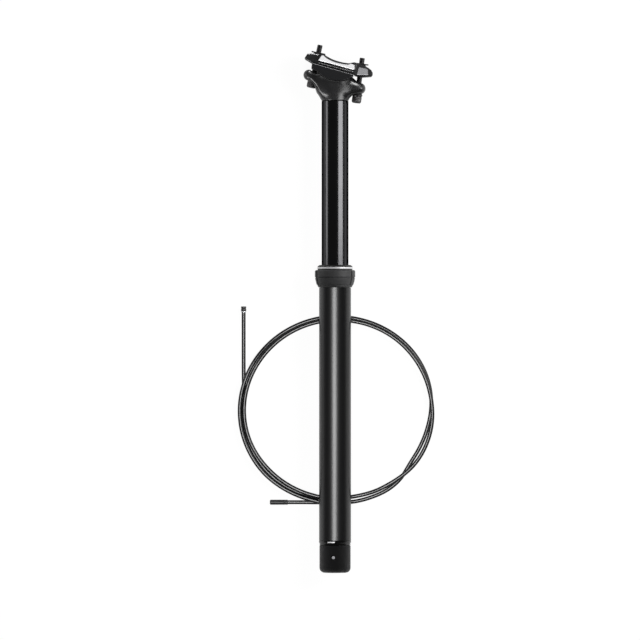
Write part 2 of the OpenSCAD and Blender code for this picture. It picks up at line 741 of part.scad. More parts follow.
module clamp_nut(lean) {
    rotate([0, lean, 0]) difference() {
        union() {
            intersection() {
                rotate([90, 0, 0]) cylinder(r = nut_r, h = nut_w, center = true);
                translate([-10, -10, -10]) cube([20, 20, 13]);
            }
            translate([-nut_flat / 2, -nut_w / 2 + 0.5, 2.95]) cube([nut_flat, nut_w - 1, 1]);
        }
        cylinder(d = bolt_d + 0.5, h = 30, center = true);
    }
}

module rear_clamp_nut() {
    color("#1a1a1c") laid() clamp_frame() translate([pivot_u_rear, 0, pivot_w]) clamp_nut(rear_lean - clamp_tilt);
}

module front_clamp_nut() {
    color("#1a1a1c") laid() clamp_frame() translate([pivot_u_front, 0, pivot_w]) clamp_nut(front_lean - clamp_tilt);
}

module clamp_bolt(len) {
    top = washer_foot - 0.05;
    r = bolt_head_d / 2;
    difference() {
        union() {
            cylinder(d = bolt_d, h = len, $fn = 48);
            rotate_extrude() polygon(concat(
                [[0, top], [0, top - bolt_head_h]],
                arc([r - 1.8, top - bolt_head_h + 1.8], 1.8, -90, 0, 5),
                [[r, top - 0.3], [r - 0.3, top]]
            ));
        }
        translate([0, 0, top - bolt_head_h - 1]) cylinder(d = hex_d, h = 4.2, $fn = 6);
    }
}

module rear_clamp_bolt() {
    color("#18181a") laid() rear_bolt_frame() clamp_bolt(rear_bolt_len);
}

module front_clamp_bolt() {
    color("#18181a") laid() front_bolt_frame() clamp_bolt(front_bolt_len);
}

module ball_washer() {
    difference() {
        intersection() {
            sphere(r = ball_r);
            translate([0, 0, washer_foot]) cylinder(r = 2 * ball_r, h = 2 * ball_r);
        }
        cylinder(d = washer_bore, h = 30, center = true, $fn = 48);
    }
}

module rear_ball_washer() {
    color("#55575b") laid() rear_bolt_frame() ball_washer();
}

module front_ball_washer() {
    color("#55575b") laid() front_bolt_frame() ball_washer();
}

// The housing lies doubled round the coil. The first strand comes down from the upper end at the left,
// goes under the others and round once and a quarter, and turns back in a fold under the post. The
// second strand goes round once the other way and leaves to the lower end. A station holds the angle
// round the coil, the distance outside its middle line, and the height of the housing's middle above
// the surface in layers of the piled housing, where 0 touches the surface.
first_strand = [
    [165, 0, 0], [175, -1, 0], [200, -1.2, 0], [238, -1.3, 0], [250, -2.6, 0], [259, -4.4, 0], [270, -4.9, 0],
    [280, -4, 0], [290, -3.4, 0.29], [295, -2.8, 0.56], [300, -2.75, 0.84], [307, -2.05, 1], [315, -0.8, 1],
    [322, 0.5, 1], [332, 1.2, 1], [350, 1.2, 1], [370, 0, 1], [390, -0.3, 1], [410, -0.3, 1], [425, -0.6, 1],
    [440, -1.1, 1], [460, -1.5, 1], [490, -2.4, 1], [505, -2.9, 1], [520, -2.95, 1], [560, -3, 1],
    [585, -3.9, 1], [618, -3.9, 1]
];
second_strand = [
    [-90, 0, 0], [-81, 1, 0], [-70, 1.3, 0], [-57, 1.7, 0], [-48, 0.45, 0], [-42, -1.7, 0], [-38, -3.4, 0],
    [-25, -3.5, 0], [-15, -2.8, 0], [-10, -2.3, 0], [5, 0, 0], [20, 1.5, 0], [35, 2.2, 0], [50, 2.3, 0],
    [80, 1.8, 0], [100, 1.8, 0], [115, 1.5, 0], [128, 1.4, 0.1], [140, 1.7, 0.5], [148, 1.8, 0.85],
    [156, 1.7, 1], [195, 1.7, 1], [215, 2, 1], [225, 2, 1], [230, 1.7, 1], [240, 1.3, 1], [250, 1, 1],
    [258, 0.9, 1]
];
coil_step = 15;

function slope(s, k) = k == 0 ? (s[1] - s[0]) / (s[1][0] - s[0][0])
    : k == len(s) - 1 ? (s[k] - s[k - 1]) / (s[k][0] - s[k - 1][0])
    : (s[k + 1] - s[k - 1]) / (s[k + 1][0] - s[k - 1][0]);

function station(s, a, k = 0) = k < len(s) - 2 && a > s[k + 1][0] ? station(s, a, k + 1)
    : let (w = s[k + 1][0] - s[k][0], t = (a - s[k][0]) / w, q = t * t * (3 - 2 * t))
        s[k] * (1 - q) + s[k + 1] * q
        + (slope(s, k) * (1 - t) - slope(s, k + 1) * t) * w * t * (1 - t);

function coil_point(s, a) = let (p = station(s, a)) [
    coil_x + (coil_rx + p[1]) * cos(a), coil_y + (coil_ry + p[1]) * sin(a), lay_z(p[2])
];
function lay_z(k) = floor_z + housing_d / 2 + layer * max(k, 0);

first_run = [for (a = [165:coil_step:615]) coil_point(first_strand, a)];
second_run = [for (a = [255:-coil_step:-75]) coil_point(second_strand, a)];

// The fold: both legs swing apart and meet in a round bight under the post
fold_leg_a = coil_point(first_strand, 618);
fold_leg_b = coil_point(second_strand, 258);
fold_mid = (fold_leg_a + fold_leg_b) / 2;
fold_half = norm(fold_leg_a - fold_leg_b) / 2;
fold_side = unit([fold_leg_a[0] - fold_leg_b[0], fold_leg_a[1] - fold_leg_b[1]]);
fold_ahead = [fold_side[1], -fold_side[0]];
fold_reach = sqrt(pow(2 * fold_r, 2) - pow(fold_r + fold_half, 2));
fold_turn = atan2(fold_reach, fold_r + fold_half);
function fold_point(x, y) = let (p = [fold_mid[0], fold_mid[1]] + fold_ahead * x + fold_side * y)
    [p[0], p[1], lay_z(1)];
fold_out = [for (a = [18, 36]) [fold_r * sin(a), fold_half + fold_r * (1 - cos(a))]];
fold_bight = [for (k = [0:12]) let (a = 90 + fold_turn - k * (180 + 2 * fold_turn) / 12)
    fold_point(fold_reach + fold_r * cos(a), fold_r * sin(a))];
fold_run = concat(
    [for (p = fold_out) fold_point(p[0], p[1])], fold_bight,
    [for (k = [1, 0]) fold_point(fold_out[k][0], -fold_out[k][1])]
);

upper_join = [upper_end_x, coil_y + 52, lay_z(0)];
lower_join = [-36, lower_end_y, lay_z(0)];
coil_path = concat(
    [upper_join, upper_join - [0, housing_d, 0], [upper_end_x, coil_y + 36, lay_z(0)]],
    first_run, fold_run, second_run,
    [coil_point(second_strand, -90), [-13, lower_end_y - 0.3, lay_z(0)], lower_join + [housing_d, 0, 0], lower_join]
);
upper_path = [
    [upper_end_x, upper_end_y, floor_z + upper_ferrule_d / 2], [upper_end_x, upper_end_y - 6, floor_z + upper_ferrule_d / 2],
    [upper_end_x, upper_end_y - 18, floor_z + 2.4], [upper_end_x, upper_end_y - 30, floor_z + 2.1],
    [upper_end_x, upper_end_y - 38, lay_z(0)], upper_join
];
lower_path = [
    [lower_end_x, lower_end_y, floor_z + lower_ferrule_d / 2],
    [lower_end_x + 1.5, lower_end_y, floor_z + lower_ferrule_d / 2],
    lower_join - [housing_d, 0, 0], lower_join
];

// A closed tube swept along a list of points, its ends square to the first and the last run
module tube_along(path, d, sides) {
    n = len(path);
    ahead = [for (k = [0:n - 1]) unit(
        k == 0 ? path[1] - path[0] : k == n - 1 ? path[n - 1] - path[n - 2]
            : unit(path[k + 1] - path[k]) + unit(path[k] - path[k - 1])
    )];
    points = [for (k = [0:n - 1]) let (
        side = unit(cross(ahead[k], [0, 0, 1])), up = cross(side, ahead[k])
    ) for (j = [0:sides - 1]) path[k] + d / 2 * (side * cos(360 * j / sides) + up * sin(360 * j / sides))];
    faces = concat(
        [for (j = [1:sides - 2]) [0, j, j + 1]],
        [for (k = [0:n - 2], j = [0:sides - 1]) let (a = k * sides + j, b = k * sides + (j + 1) % sides)
            [a, a + sides, b]],
        [for (k = [0:n - 2], j = [0:sides - 1]) let (a = k * sides + j, b = k * sides + (j + 1) % sides)
            [b, a + sides, b + sides]],
        [for (j = [1:sides - 2]) [(n - 1) * sides, (n - 1) * sides + j + 1, (n - 1) * sides + j]]
    );
    polyhedron(points, faces);
}

function add(v, k = 0) = k < len(v) ? v[k] + add(v, k + 1) : 0;
function run_length(path) = add([for (k = [1:len(path) - 1]) norm(path[k] - path[k - 1])]);
// Points spread along the path, four to each run, for measuring
function spread(path) = [for (k = [0:len(path) - 2], t = [0:0.25:0.75]) path[k] * (1 - t) + path[k + 1] * t];
function least_gap(path) = let (p = spread(path), skip = 16)
    min([for (i = [0:len(p) - 1], j = [i + skip:1:len(p) - 1]) norm(p[i] - p[j])]) - housing_d;

module housing_coil() {
    echo(coil_least_gap = least_gap(coil_path));
    echo(housing_length = run_length(coil_path) + run_length(upper_path) + run_length(lower_path));
    color("#0c0c0d") tube_along(coil_path, housing_d, 6);
}

module housing_upper_end() {
    color("#0c0c0d") tube_along(upper_path, housing_d, 8);
}

module housing_lower_end() {
    color("#0c0c0d") tube_along(lower_path, housing_d, 8);
}

module upper_end_cap() {
    color("#1c1c1e") translate([upper_end_x, upper_cap_y, floor_z + upper_ferrule_d / 2]) rotate([90, 0, 0])
        cylinder(d = upper_ferrule_d, h = upper_ferrule_len, $fn = SMALL);
}

module upper_end_ring() {
    color("#b9bcc0") translate([upper_end_x, upper_cap_y - upper_ferrule_len, floor_z + upper_ferrule_d / 2])
        rotate([90, 0, 0]) cylinder(d = upper_ferrule_d - 0.2, h = upper_ring_len, $fn = SMALL);
}

module lower_end_ferrule() {
    edge = 0.6;
    color("#3c3c3f") translate([lower_ferrule_x, lower_end_y, floor_z + lower_ferrule_d / 2]) rotate([0, 90, 0])
        rotate_extrude() polygon([
            [0, 0], [lower_ferrule_d / 2 - edge, 0], [lower_ferrule_d / 2, edge],
            [lower_ferrule_d / 2, lower_ferrule_len], [0, lower_ferrule_len]
        ]);
}

outer_tube();
collar();
upper_bushing();
wiper_seal();
seal_ring();
foot_plug();
bottom_out_bumper();
actuator_housing();
actuator_screws();
lever_pivot_pin();
actuator_lever();
cable_barrel();
cable_grub_screw();
valve_pin();
valve_spring();
piston_rod();
rod_lock_nut();
gas_piston();
piston_seal();
piston_nut();
stanchion();
lower_bushing();
lower_retaining_ring();
anti_rotation_keys();
cartridge_tube();
cartridge_spacer();
cartridge_seal_head();
top_out_bumper();
floating_piston();
floating_piston_seal();
cartridge_cap();
fill_valve();
post_head();
lower_cradle();
upper_clamp();
rear_clamp_nut();
front_clamp_nut();
rear_clamp_bolt();
front_clamp_bolt();
rear_ball_washer();
front_ball_washer();
housing_coil();
housing_upper_end();
housing_lower_end();
upper_end_cap();
upper_end_ring();
lower_end_ferrule();
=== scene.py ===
"""Looks for the dropper seatpost: materials, the control housing, the pieces that replace plain solids.

Pieces are drawn in millimetres on the upright post: X to the front of the bicycle, Y to its left, Z up.
"""

import json
import math

import bpy
import numpy as np
from mathutils import Matrix, Vector


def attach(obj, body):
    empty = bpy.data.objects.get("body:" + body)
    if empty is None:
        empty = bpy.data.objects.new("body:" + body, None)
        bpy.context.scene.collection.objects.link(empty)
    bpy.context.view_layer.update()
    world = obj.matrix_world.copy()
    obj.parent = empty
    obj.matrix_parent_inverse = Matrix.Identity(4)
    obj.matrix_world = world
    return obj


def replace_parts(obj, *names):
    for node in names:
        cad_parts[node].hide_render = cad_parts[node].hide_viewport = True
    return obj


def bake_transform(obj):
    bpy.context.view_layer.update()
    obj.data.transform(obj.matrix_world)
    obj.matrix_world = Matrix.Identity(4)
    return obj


MM = 0.001
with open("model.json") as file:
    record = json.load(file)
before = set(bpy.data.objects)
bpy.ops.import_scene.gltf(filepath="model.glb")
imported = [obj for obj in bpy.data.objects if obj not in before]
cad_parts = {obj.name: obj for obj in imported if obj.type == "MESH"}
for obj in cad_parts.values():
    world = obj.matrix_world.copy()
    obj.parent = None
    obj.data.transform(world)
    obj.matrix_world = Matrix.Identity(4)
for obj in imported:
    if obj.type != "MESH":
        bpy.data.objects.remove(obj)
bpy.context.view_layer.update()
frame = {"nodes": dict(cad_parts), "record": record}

# ---------------------------------------------------------------- numbers shared with the solids
RAIL_HALF, CHANNEL_R = 22, 3.55
AXIS_HEIGHT = RAIL_HALF + math.sqrt(CHANNEL_R**2 - 2.05**2)
HEAD_Z = 185.2
CLAMP_AT, CLAMP_TILT = (-0.45, HEAD_Z + 33.5), 14.5
TILT_LIFT = 12.6
REAR_SEAT, REAR_LEAN = (-22.5, HEAD_Z + 19.1), 12.1
FRONT_SEAT, FRONT_LEAN = (21.8, HEAD_Z + 4.1), 7.8
HOUSING_D = 4.0
LAYER = HOUSING_D + 0.45
COIL_X, COIL_Y, COIL_RX, COIL_RY = 1.44, -121.67, 94.75, 91.26


# ---------------------------------------------------------------- camera, in metres
CAMERA_HEIGHT = 8.0
VIEW_CENTRE = (-0.0149, -0.0319)
VIEW_WIDTH = 0.63398
SENSOR = 36
camera = bpy.data.objects.new("camera", bpy.data.cameras.new("camera"))
bpy.context.scene.collection.objects.link(camera)
camera.location = (*VIEW_CENTRE, CAMERA_HEIGHT)
camera.data.sensor_width = SENSOR
camera.data.lens = SENSOR * CAMERA_HEIGHT / VIEW_WIDTH
camera.data.clip_start, camera.data.clip_end = 0.05, 60
bpy.context.scene.camera = camera
bpy.context.scene.view_settings.view_transform = "Standard"

# ---------------------------------------------------------------- materials
COLOUR_SPREAD, ROUGH_SPREAD = 0.12, 0.06
BROAD_SCALE = 45.0
RELIEF_DEPTH = 0.0002
MIX_FROM, MIX_TO, MIX_RESULT = 6, 7, 2  # a mix node's sockets for colours


def finish_material(name, colour, rough, grain, bump, metallic=0.0, specular=0.5, edge=None):
    """A surface whose colour, roughness and relief vary with two noises in the object's own space."""
    mat = bpy.data.materials.new(name)
    mat.use_nodes = True
    make, link = mat.node_tree.nodes.new, mat.node_tree.links.new
    shader = mat.node_tree.nodes["Principled BSDF"]
    shader.inputs["Metallic"].default_value = metallic
    shader.inputs["Specular IOR Level"].default_value = specular
    if edge is not None:
        shader.inputs["Specular Tint"].default_value = (*edge, 1)
    place = make("ShaderNodeTexCoord")
    stretch = make("ShaderNodeMapping")
    stretch.inputs["Scale"].default_value = grain
    link(place.outputs["Object"], stretch.inputs["Vector"])
    fine = make("ShaderNodeTexNoise")
    fine.inputs["Scale"].default_value = 1.0
    fine.inputs["Detail"].default_value = 3.0
    link(stretch.outputs["Vector"], fine.inputs["Vector"])
    broad = make("ShaderNodeTexNoise")
    broad.inputs["Scale"].default_value = BROAD_SCALE
    broad.inputs["Detail"].default_value = 4.0
    link(place.outputs["Object"], broad.inputs["Vector"])
    tint = make("ShaderNodeMix")
    tint.data_type = "RGBA"
    tint.inputs[MIX_FROM].default_value = (*[c * (1 - COLOUR_SPREAD) for c in colour], 1)
    tint.inputs[MIX_TO].default_value = (*[min(1, c * (1 + COLOUR_SPREAD)) for c in colour], 1)
    link(broad.outputs["Fac"], tint.inputs[0])
    link(tint.outputs[MIX_RESULT], shader.inputs["Base Color"])
    spread = make("ShaderNodeMapRange")
    spread.inputs["To Min"].default_value = max(0.02, rough - ROUGH_SPREAD)
    spread.inputs["To Max"].default_value = min(1, rough + ROUGH_SPREAD)
    link(fine.outputs["Fac"], spread.inputs["Value"])
    link(spread.outputs["Result"], shader.inputs["Roughness"])
    relief = make("ShaderNodeBump")
    relief.inputs["Strength"].default_value = bump
    relief.inputs["Distance"].default_value = RELIEF_DEPTH
    link(fine.outputs["Fac"], relief.inputs["Height"])
    link(relief.outputs["Normal"], shader.inputs["Normal"])
    return mat


# Name, colour, roughness, grain along each axis, strength of the relief, and what else differs
AROUND = (300, 6000, 300)
ALONG = (5000, 120, 5000)
FINISHES = (
    ("tube_black", (0.003, 0.003, 0.0033), 0.33, AROUND, 0.05, {}),
    ("stanchion_black", (0.05, 0.05, 0.052), 0.17, AROUND, 0.03, {"metallic": 1.0, "edge": (0.1, 0.1, 0.1)}),
    ("clamp_black", (0.009, 0.009, 0.0105), 0.38, (2600,) * 3, 0.12, {}),
    ("head_black", (0.0045, 0.0045, 0.0048), 0.30, (1500,) * 3, 0.08, {}),
    ("collar_black", (0.05, 0.05, 0.051), 0.5, AROUND, 0.1, {"specular": 0.25}),
    ("seal_rubber", (0.006, 0.006, 0.006), 0.55, (1800,) * 3, 0.2, {}),
    ("bright_steel", (0.62, 0.63, 0.65), 0.22, AROUND, 0.06, {"metallic": 1.0}),
    # Polished metal for the wing facets and the teeth; on the strip along the rear block's top it is a
    # painted highlight
    ("polished_facet_and_highlight", (0.8, 0.8, 0.81), 0.3, ALONG, 0.08, {"metallic": 1.0}),
    ("black_steel", (0.014, 0.013, 0.014), 0.28, (2000,) * 3, 0.1, {}),
    ("soft_silver", (0.72, 0.72, 0.73), 0.45, AROUND, 0.04, {"metallic": 0.25}),
    ("alloy", (0.42, 0.43, 0.45), 0.35, AROUND, 0.08, {"metallic": 1.0}),
    ("brass", (0.55, 0.36, 0.11), 0.3, AROUND, 0.08, {"metallic": 1.0}),
    ("slide_plastic", (0.55, 0.5, 0.36), 0.55, (1500,) * 3, 0.1, {}),
    ("housing_plastic", (0.0012, 0.0012, 0.0013), 0.27, (2200,) * 3, 0.05, {"specular": 0.16}),
    ("cap_black", (0.08, 0.08, 0.081), 0.45, (1200,) * 3, 0.14, {"specular": 0.12}),
    ("bead_black", (0.006, 0.006, 0.006), 0.24, AROUND, 0.04, {}),
    ("machined_grey", (0.3, 0.3, 0.31), 0.34, ALONG, 0.12, {"metallic": 1.0}),
    # Grey metal for thin strips along the cradle's rim and the rear foot's lower edge: painted edge
    # highlights
    ("edge_highlight_grey", (0.35, 0.35, 0.36), 0.4, ALONG, 0.2, {"metallic": 1.0}),
    ("ferrule_plastic", (0.02, 0.02, 0.021), 0.34, (1800,) * 3, 0.1, {}),
)
MATERIALS = {
    name: finish_material(name, colour, rough, grain, bump, **others)
    for name, colour, rough, grain, bump, others in FINISHES
}


def dress(obj, name):
    """Gives an object one material, on all its faces."""
    obj.data.materials.clear()
    obj.data.materials.append(MATERIALS[name])
    if obj.type == "MESH":
        obj.data.polygons.foreach_set("material_index", [0] * len(obj.data.polygons))


for part in frame["record"]["subparts"]:
    dress(frame["nodes"][part["node"]], part["material_slot"])
dress(frame["nodes"]["lever_pivot_pin"], "stanchion_black")


def add(obj, body, slot, material=None):
    """Puts a finished piece in the scene, on its body, with its material, or with the slot's name as its
    material.
    """
    bpy.context.scene.collection.objects.link(obj)
    dress(obj, material or slot)
    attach(obj, body)
    return obj


# ---------------------------------------------------------------- control housing
# Stations of the two strands: angle round the coil, distance outside its middle line, layer above the surface
FIRST = [
    (165, 0, 0), (175, -1, 0), (200, -1.2, 0), (238, -1.3, 0), (250, -2.2, 0), (259, -2.6, 0), (270, -4.1, 0),
    (280, -4, 0), (290, -3.4, 0.29), (295, -2.8, 0.56), (300, -2.75, 0.84), (307, -2.05, 1), (315, -0.8, 1),
    (322, 0.5, 1), (332, 1.2, 1), (350, 1.2, 1), (370, 0, 1), (390, -0.3, 1), (410, -0.3, 1), (425, -0.6, 1),
    (440, -1.1, 1), (460, -1.5, 1), (490, -2.4, 1), (505, -2.75, 1), (520, -2.8, 1), (560, -3, 1),
    (585, -3.9, 1), (618, -3.9, 1),
]
SECOND = [
    (-90, 0, 0), (-81, 1, 0), (-70, 1.3, 0), (-57, 1.7, 0), (-48, 0.45, 0), (-42, -1.7, 0), (-38, -3.4, 0),
    (-25, -3.5, 0), (-15, -2.8, 0), (-10, -2.3, 0), (5, 0, 0), (20, 1.5, 0), (35, 2.2, 0), (50, 2.3, 0),
    (80, 1.8, 0), (100, 1.8, 0), (115, 1.5, 0), (128, 1.4, 0.1), (140, 1.3, 0.5), (148, 1.3, 0.85),
    (156, 1.28, 1), (165, 1.3, 1), (195, 1.7, 1), (215, 2, 1), (225, 2, 1), (230, 1.7, 1), (240, 1.3, 1),
    (250, 1, 1), (258, 0.9, 1),
]
FIRST_FROM = 166
STRAND_TURN, STRAND_STEP, STRAND_EASING = 2, 2.0, 14
FOLD_R, FOLD_STEP, BIGHT_STEPS = 12.3, 1.5, 48
UPPER_END = (-90.75, -24.4)
LOWER_END = (-47.0, -212.9)
UPPER_CAP_R, LOWER_FERRULE_R = 2.6, 2.5


def slope(s, k):
    """How fast the stations change with the angle at one of them."""
    a, b = max(k - 1, 0), min(k + 1, len(s) - 1)
    return (s[b] - s[a]) / (s[b][0] - s[a][0])


def station(s, a):
    """The station at any angle, on a smooth line through those given."""
    k = 0
    while k < len(s) - 2 and a > s[k + 1][0]:
        k += 1
    w = s[k + 1][0] - s[k][0]
    t = (a - s[k][0]) / w
    q = t * t * (3 - 2 * t)
    return s[k] * (1 - q) + s[k + 1] * q + (slope(s, k) * (1 - t) - slope(s, k + 1) * t) * w * t * (1 - t)


def lay_z(layer):
    """The height of a strand's middle in a layer, from the post's axis."""
    return -AXIS_HEIGHT + HOUSING_D / 2 + LAYER * max(layer, 0)


def coil_point(s, a):
    """A strand's point at an angle round the coil."""
    _, out, layer = station(s, a)
    r = math.radians(a)
    x, y = COIL_X + (COIL_RX + out) * math.cos(r), COIL_Y + (COIL_RY + out) * math.sin(r)
    return np.array([x, y, lay_z(layer)])


def fold_points(leg_a, leg_b):
    """The bight under the post that joins the two strands."""
    middle, half = (leg_a + leg_b) / 2, np.linalg.norm(leg_a - leg_b) / 2
    side = (leg_a - leg_b)[:2]
    side /= np.linalg.norm(side)
    ahead = np.array([side[1], -side[0]])
    reach = math.sqrt((2 * FOLD_R) ** 2 - (FOLD_R + half) ** 2)
    turn = math.atan2(reach, FOLD_R + half)

    def at(x, y):
        return np.array([*(middle[:2] + ahead * x + side * y), lay_z(1)])

    legs = [(FOLD_R * math.sin(a), half + FOLD_R * (1 - math.cos(a))) for a in np.linspace(0, turn, 7)[1:-1]]
    bight = [math.pi / 2 + turn - k * (math.pi + 2 * turn) / BIGHT_STEPS for k in range(BIGHT_STEPS + 1)]
    return (
        [at(x, y) for x, y in legs]
        + [at(reach + FOLD_R * math.cos(a), FOLD_R * math.sin(a)) for a in bight]
        + [at(x, -y) for x, y in reversed(legs)]
    )


def spaced(points, step):
    """The same line with its points an even step apart."""
    points = np.array(points)
    run = np.concatenate([[0], np.cumsum(np.linalg.norm(np.diff(points, axis=0), axis=1))])
    marks = np.linspace(0, run[-1], int(run[-1] / step) + 1)
    return np.stack([np.interp(marks, run, points[:, k]) for k in range(3)], axis=1)


def eased(points, passes):
    """The same line with its corners eased, its ends kept."""
    points = points.copy()
    for _ in range(passes):
        points[1:-1] = points[1:-1] * 0.5 + (points[:-2] + points[2:]) * 0.25
    return points


def housing_path():
    """The middle line of the whole housing, from its upper end to its lower one."""
    first, second = np.array(FIRST, float), np.array(SECOND, float)
    (upper_x, upper_y), (lower_x, lower_y) = UPPER_END, LOWER_END
    cap_z, ferrule_z, flat_z = UPPER_CAP_R - AXIS_HEIGHT, LOWER_FERRULE_R - AXIS_HEIGHT, lay_z(0)
    start = [
        (upper_x, upper_y, cap_z), (upper_x, upper_y - 6, cap_z), (upper_x, upper_y - 38, flat_z),
        (upper_x, COIL_Y + 36, flat_z),
    ]
    run_a = [coil_point(first, a) for a in np.arange(FIRST_FROM, first[-1][0] + 0.1, STRAND_TURN)]
    run_b = [coil_point(second, a) for a in np.arange(second[-1][0], second[0][0] - 0.1, -STRAND_TURN)]
    end = [
        (-13, lower_y - 0.3, flat_z), (-30, lower_y, flat_z), (lower_x + 5, lower_y, ferrule_z - 0.1),
        (lower_x, lower_y, ferrule_z),
    ]
    lead_in = eased(spaced(start + run_a, STRAND_STEP), STRAND_EASING)
    lead_out = eased(spaced(run_b + end, STRAND_STEP), STRAND_EASING)
    fold = spaced([lead_in[-1], *fold_points(run_a[-1], run_b[0]), lead_out[0]], FOLD_STEP)
    return np.concatenate([lead_in, fold[1:-1], lead_out])


def tube_curve(name, points, diameter):
    """A round cord along a line, with closed ends."""
    data = bpy.data.curves.new(name, "CURVE")
    data.dimensions = "3D"
    data.bevel_depth = diameter / 2 * MM
    data.bevel_resolution = 5
    data.use_fill_caps = True
    line = data.splines.new("POLY")
    line.points.add(len(points) - 1)
    line.points.foreach_set("co", np.concatenate([points * MM, np.ones((len(points), 1))], axis=1).ravel())
    line.use_smooth = True
    return bpy.data.objects.new(name, data)


housing_line = housing_path()
housing = add(tube_curve("control_housing", housing_line, HOUSING_D), "fixed_tube", "housing_plastic")
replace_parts(housing, "housing_coil", "housing_upper_end", "housing_lower_end")


# ---------------------------------------------------------------- spring on the release pin
SPRING_R, SPRING_WIRE, SPRING_TURNS, SPRING_POINTS = 1.9, 0.4, 3, 97
SPRING_BOTTOM, SPRING_TOP = -260.5, -257.25


def release_spring():
    """A coil spring round the release pin."""
    turn = np.linspace(0, SPRING_TURNS * 2 * math.pi, SPRING_POINTS)
    height = np.linspace(SPRING_BOTTOM, SPRING_TOP, SPRING_POINTS)
    line = np.stack([SPRING_R * np.cos(turn), height, SPRING_R * np.sin(turn)], axis=1)
    mesh = bpy.data.meshes.new_from_object(tube_curve("spring_line", line, SPRING_WIRE))
    spring = bpy.data.objects.new("release_spring", mesh)
    bpy.context.scene.collection.objects.link(spring)
    dress(spring, "bright_steel")
    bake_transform(spring)
    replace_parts(spring, "valve_spring")


release_spring()


# ---------------------------------------------------------------- shapes drawn as distance fields
def arc(centre, r, a0, a1, n):
    """Points of an arc from one angle to another, in degrees."""
    turns = np.radians(np.linspace(a0, a1, n + 1))
    return [(centre[0] + r * math.cos(a), centre[1] + r * math.sin(a)) for a in turns]


def outline(points):
    """The distance to a closed outline in a plane, negative inside."""
    points = np.array(points, float)
    sides = [(p, q) for p, q in zip(points, np.roll(points, -1, axis=0)) if not np.allclose(p, q)]

    def field(a, b):
        near = np.full(np.broadcast(a, b).shape, 1e9)
        inside = np.zeros(near.shape, bool)
        for (x0, y0), (x1, y1) in sides:
            ex, ey = x1 - x0, y1 - y0
            t = np.clip(((a - x0) * ex + (b - y0) * ey) / (ex * ex + ey * ey), 0, 1)
            near = np.minimum(near, (a - x0 - t * ex) ** 2 + (b - y0 - t * ey) ** 2)
            if ey:
                inside ^= ((y0 > b) != (y1 > b)) & (a < ex * (b - y0) / ey + x0)
        return np.where(inside, -1, 1) * np.sqrt(near)

    return field


def both(a, b, r=0.0):
    """Where two fields meet, the edge rounded to r."""
    if r <= 0:
        return np.maximum(a, b)
    return np.minimum(np.maximum(a, b), -r) + np.hypot(np.maximum(a + r, 0), np.maximum(b + r, 0))


def either(a, b, r=0.0):
    """Two fields joined, the inner corner filled to r."""
    return -both(-a, -b, r)


def box(a, a0, a1, b, b0, b1, r=0.0):
    """A bar that fills a0 to a1 one way and b0 to b1 the other, and has no ends."""
    return both(np.maximum(a0 - a, a - a1), np.maximum(b0 - b, b - b1), r)


PROBE = 0.05


def surface(lo, hi, step, field):
    """Points and quads where a field is zero, found cell by cell and then drawn onto the field."""
    axes = [np.arange(a, b + step, step) for a, b in zip(lo, hi)]
    value = field(axes[0][:, None, None], axes[1][None, :, None], axes[2][None, None, :])
    value = np.broadcast_to(value, [len(a) for a in axes])
    cells = [n - 1 for n in value.shape]
    total, count, quads = np.zeros((math.prod(cells), 3)), np.zeros(math.prod(cells)), []
    for k in range(3):
        u, v = (k + 1) % 3, (k + 2) % 3
        a, b = np.moveaxis(value, k, 0)[:-1], np.moveaxis(value, k, 0)[1:]
        found = np.argwhere((a < 0) != (b < 0))
        low, high = a[tuple(found.T)], b[tuple(found.T)]
        rest = [axis for axis in range(3) if axis != k]
        index = np.empty_like(found)
        index[:, [k, *rest]] = found
        point = index.astype(float)
        point[:, k] += low / (low - high)
        corners = []
        for du, dv in ((1, 1), (0, 1), (0, 0), (1, 0)):
            cell = index.copy()
            cell[:, u] -= du
            cell[:, v] -= dv
            flat = np.ravel_multi_index(cell.T, cells, mode="clip")
            corners.append(flat)
            for axis in range(3):
                total[:, axis] += np.bincount(flat, point[:, axis], len(count))
            count += np.bincount(flat, minlength=len(count))
        quad = np.stack(corners, axis=1)
        quads.append(np.where((low < 0)[:, None], quad, quad[:, ::-1]))
    used = np.flatnonzero(count)
    points = total[used] / count[used, None] * step + np.array(lo)
    for _ in range(2):
        gradient = np.stack([
            field(*(points + e).T) - field(*(points - e).T) for e in np.eye(3) * PROBE
        ], axis=1) / (2 * PROBE)
        size = np.maximum((gradient**2).sum(axis=1), 0.2)
        move = -gradient * (field(*points.T) / size)[:, None]
        reach = np.linalg.norm(move, axis=1, keepdims=True)
        points += move * np.minimum(1, 0.5 * step / np.maximum(reach, 1e-9))
    return points, np.searchsorted(used, np.concatenate(quads))


def solid(name, points, faces, place=lambda p: p):
    """A smooth mesh from points of the upright drawing, or of a drawing that is placed in it."""
    x, y, z = place(np.asarray(points, float)).T
    mesh = bpy.data.meshes.new(name)
    mesh.from_pydata(np.stack([x, z, -y], axis=1) * MM, [], [tuple(f) for f in faces])
    mesh.validate()
    mesh.polygons.foreach_set("use_smooth", [True] * len(mesh.polygons))
    mesh.update()
    return bpy.data.objects.new(name, mesh)


def turned(seat, lean, x, z):
    """From a drawing that leans forward by an angle, its origin at a seat, to the upright drawing."""
    t = math.radians(lean)
    return seat[0] + x * math.cos(t) + z * math.sin(t), seat[1] - x * math.sin(t) + z * math.cos(t)


def turned_back(seat, lean, x, z):
    """From the upright drawing to one that leans."""
    t = math.radians(lean)
    x, z = x - seat[0], z - seat[1]
    return x * math.cos(t) - z * math.sin(t), x * math.sin(t) + z * math.cos(t)


def leaned(seat, lean):
    """Places the points of a drawing that leans."""
    def place(p):
        x, z = turned(seat, lean, p[:, 0], p[:, 2])
        return np.stack([x, p[:, 1], z], axis=1)

    return place


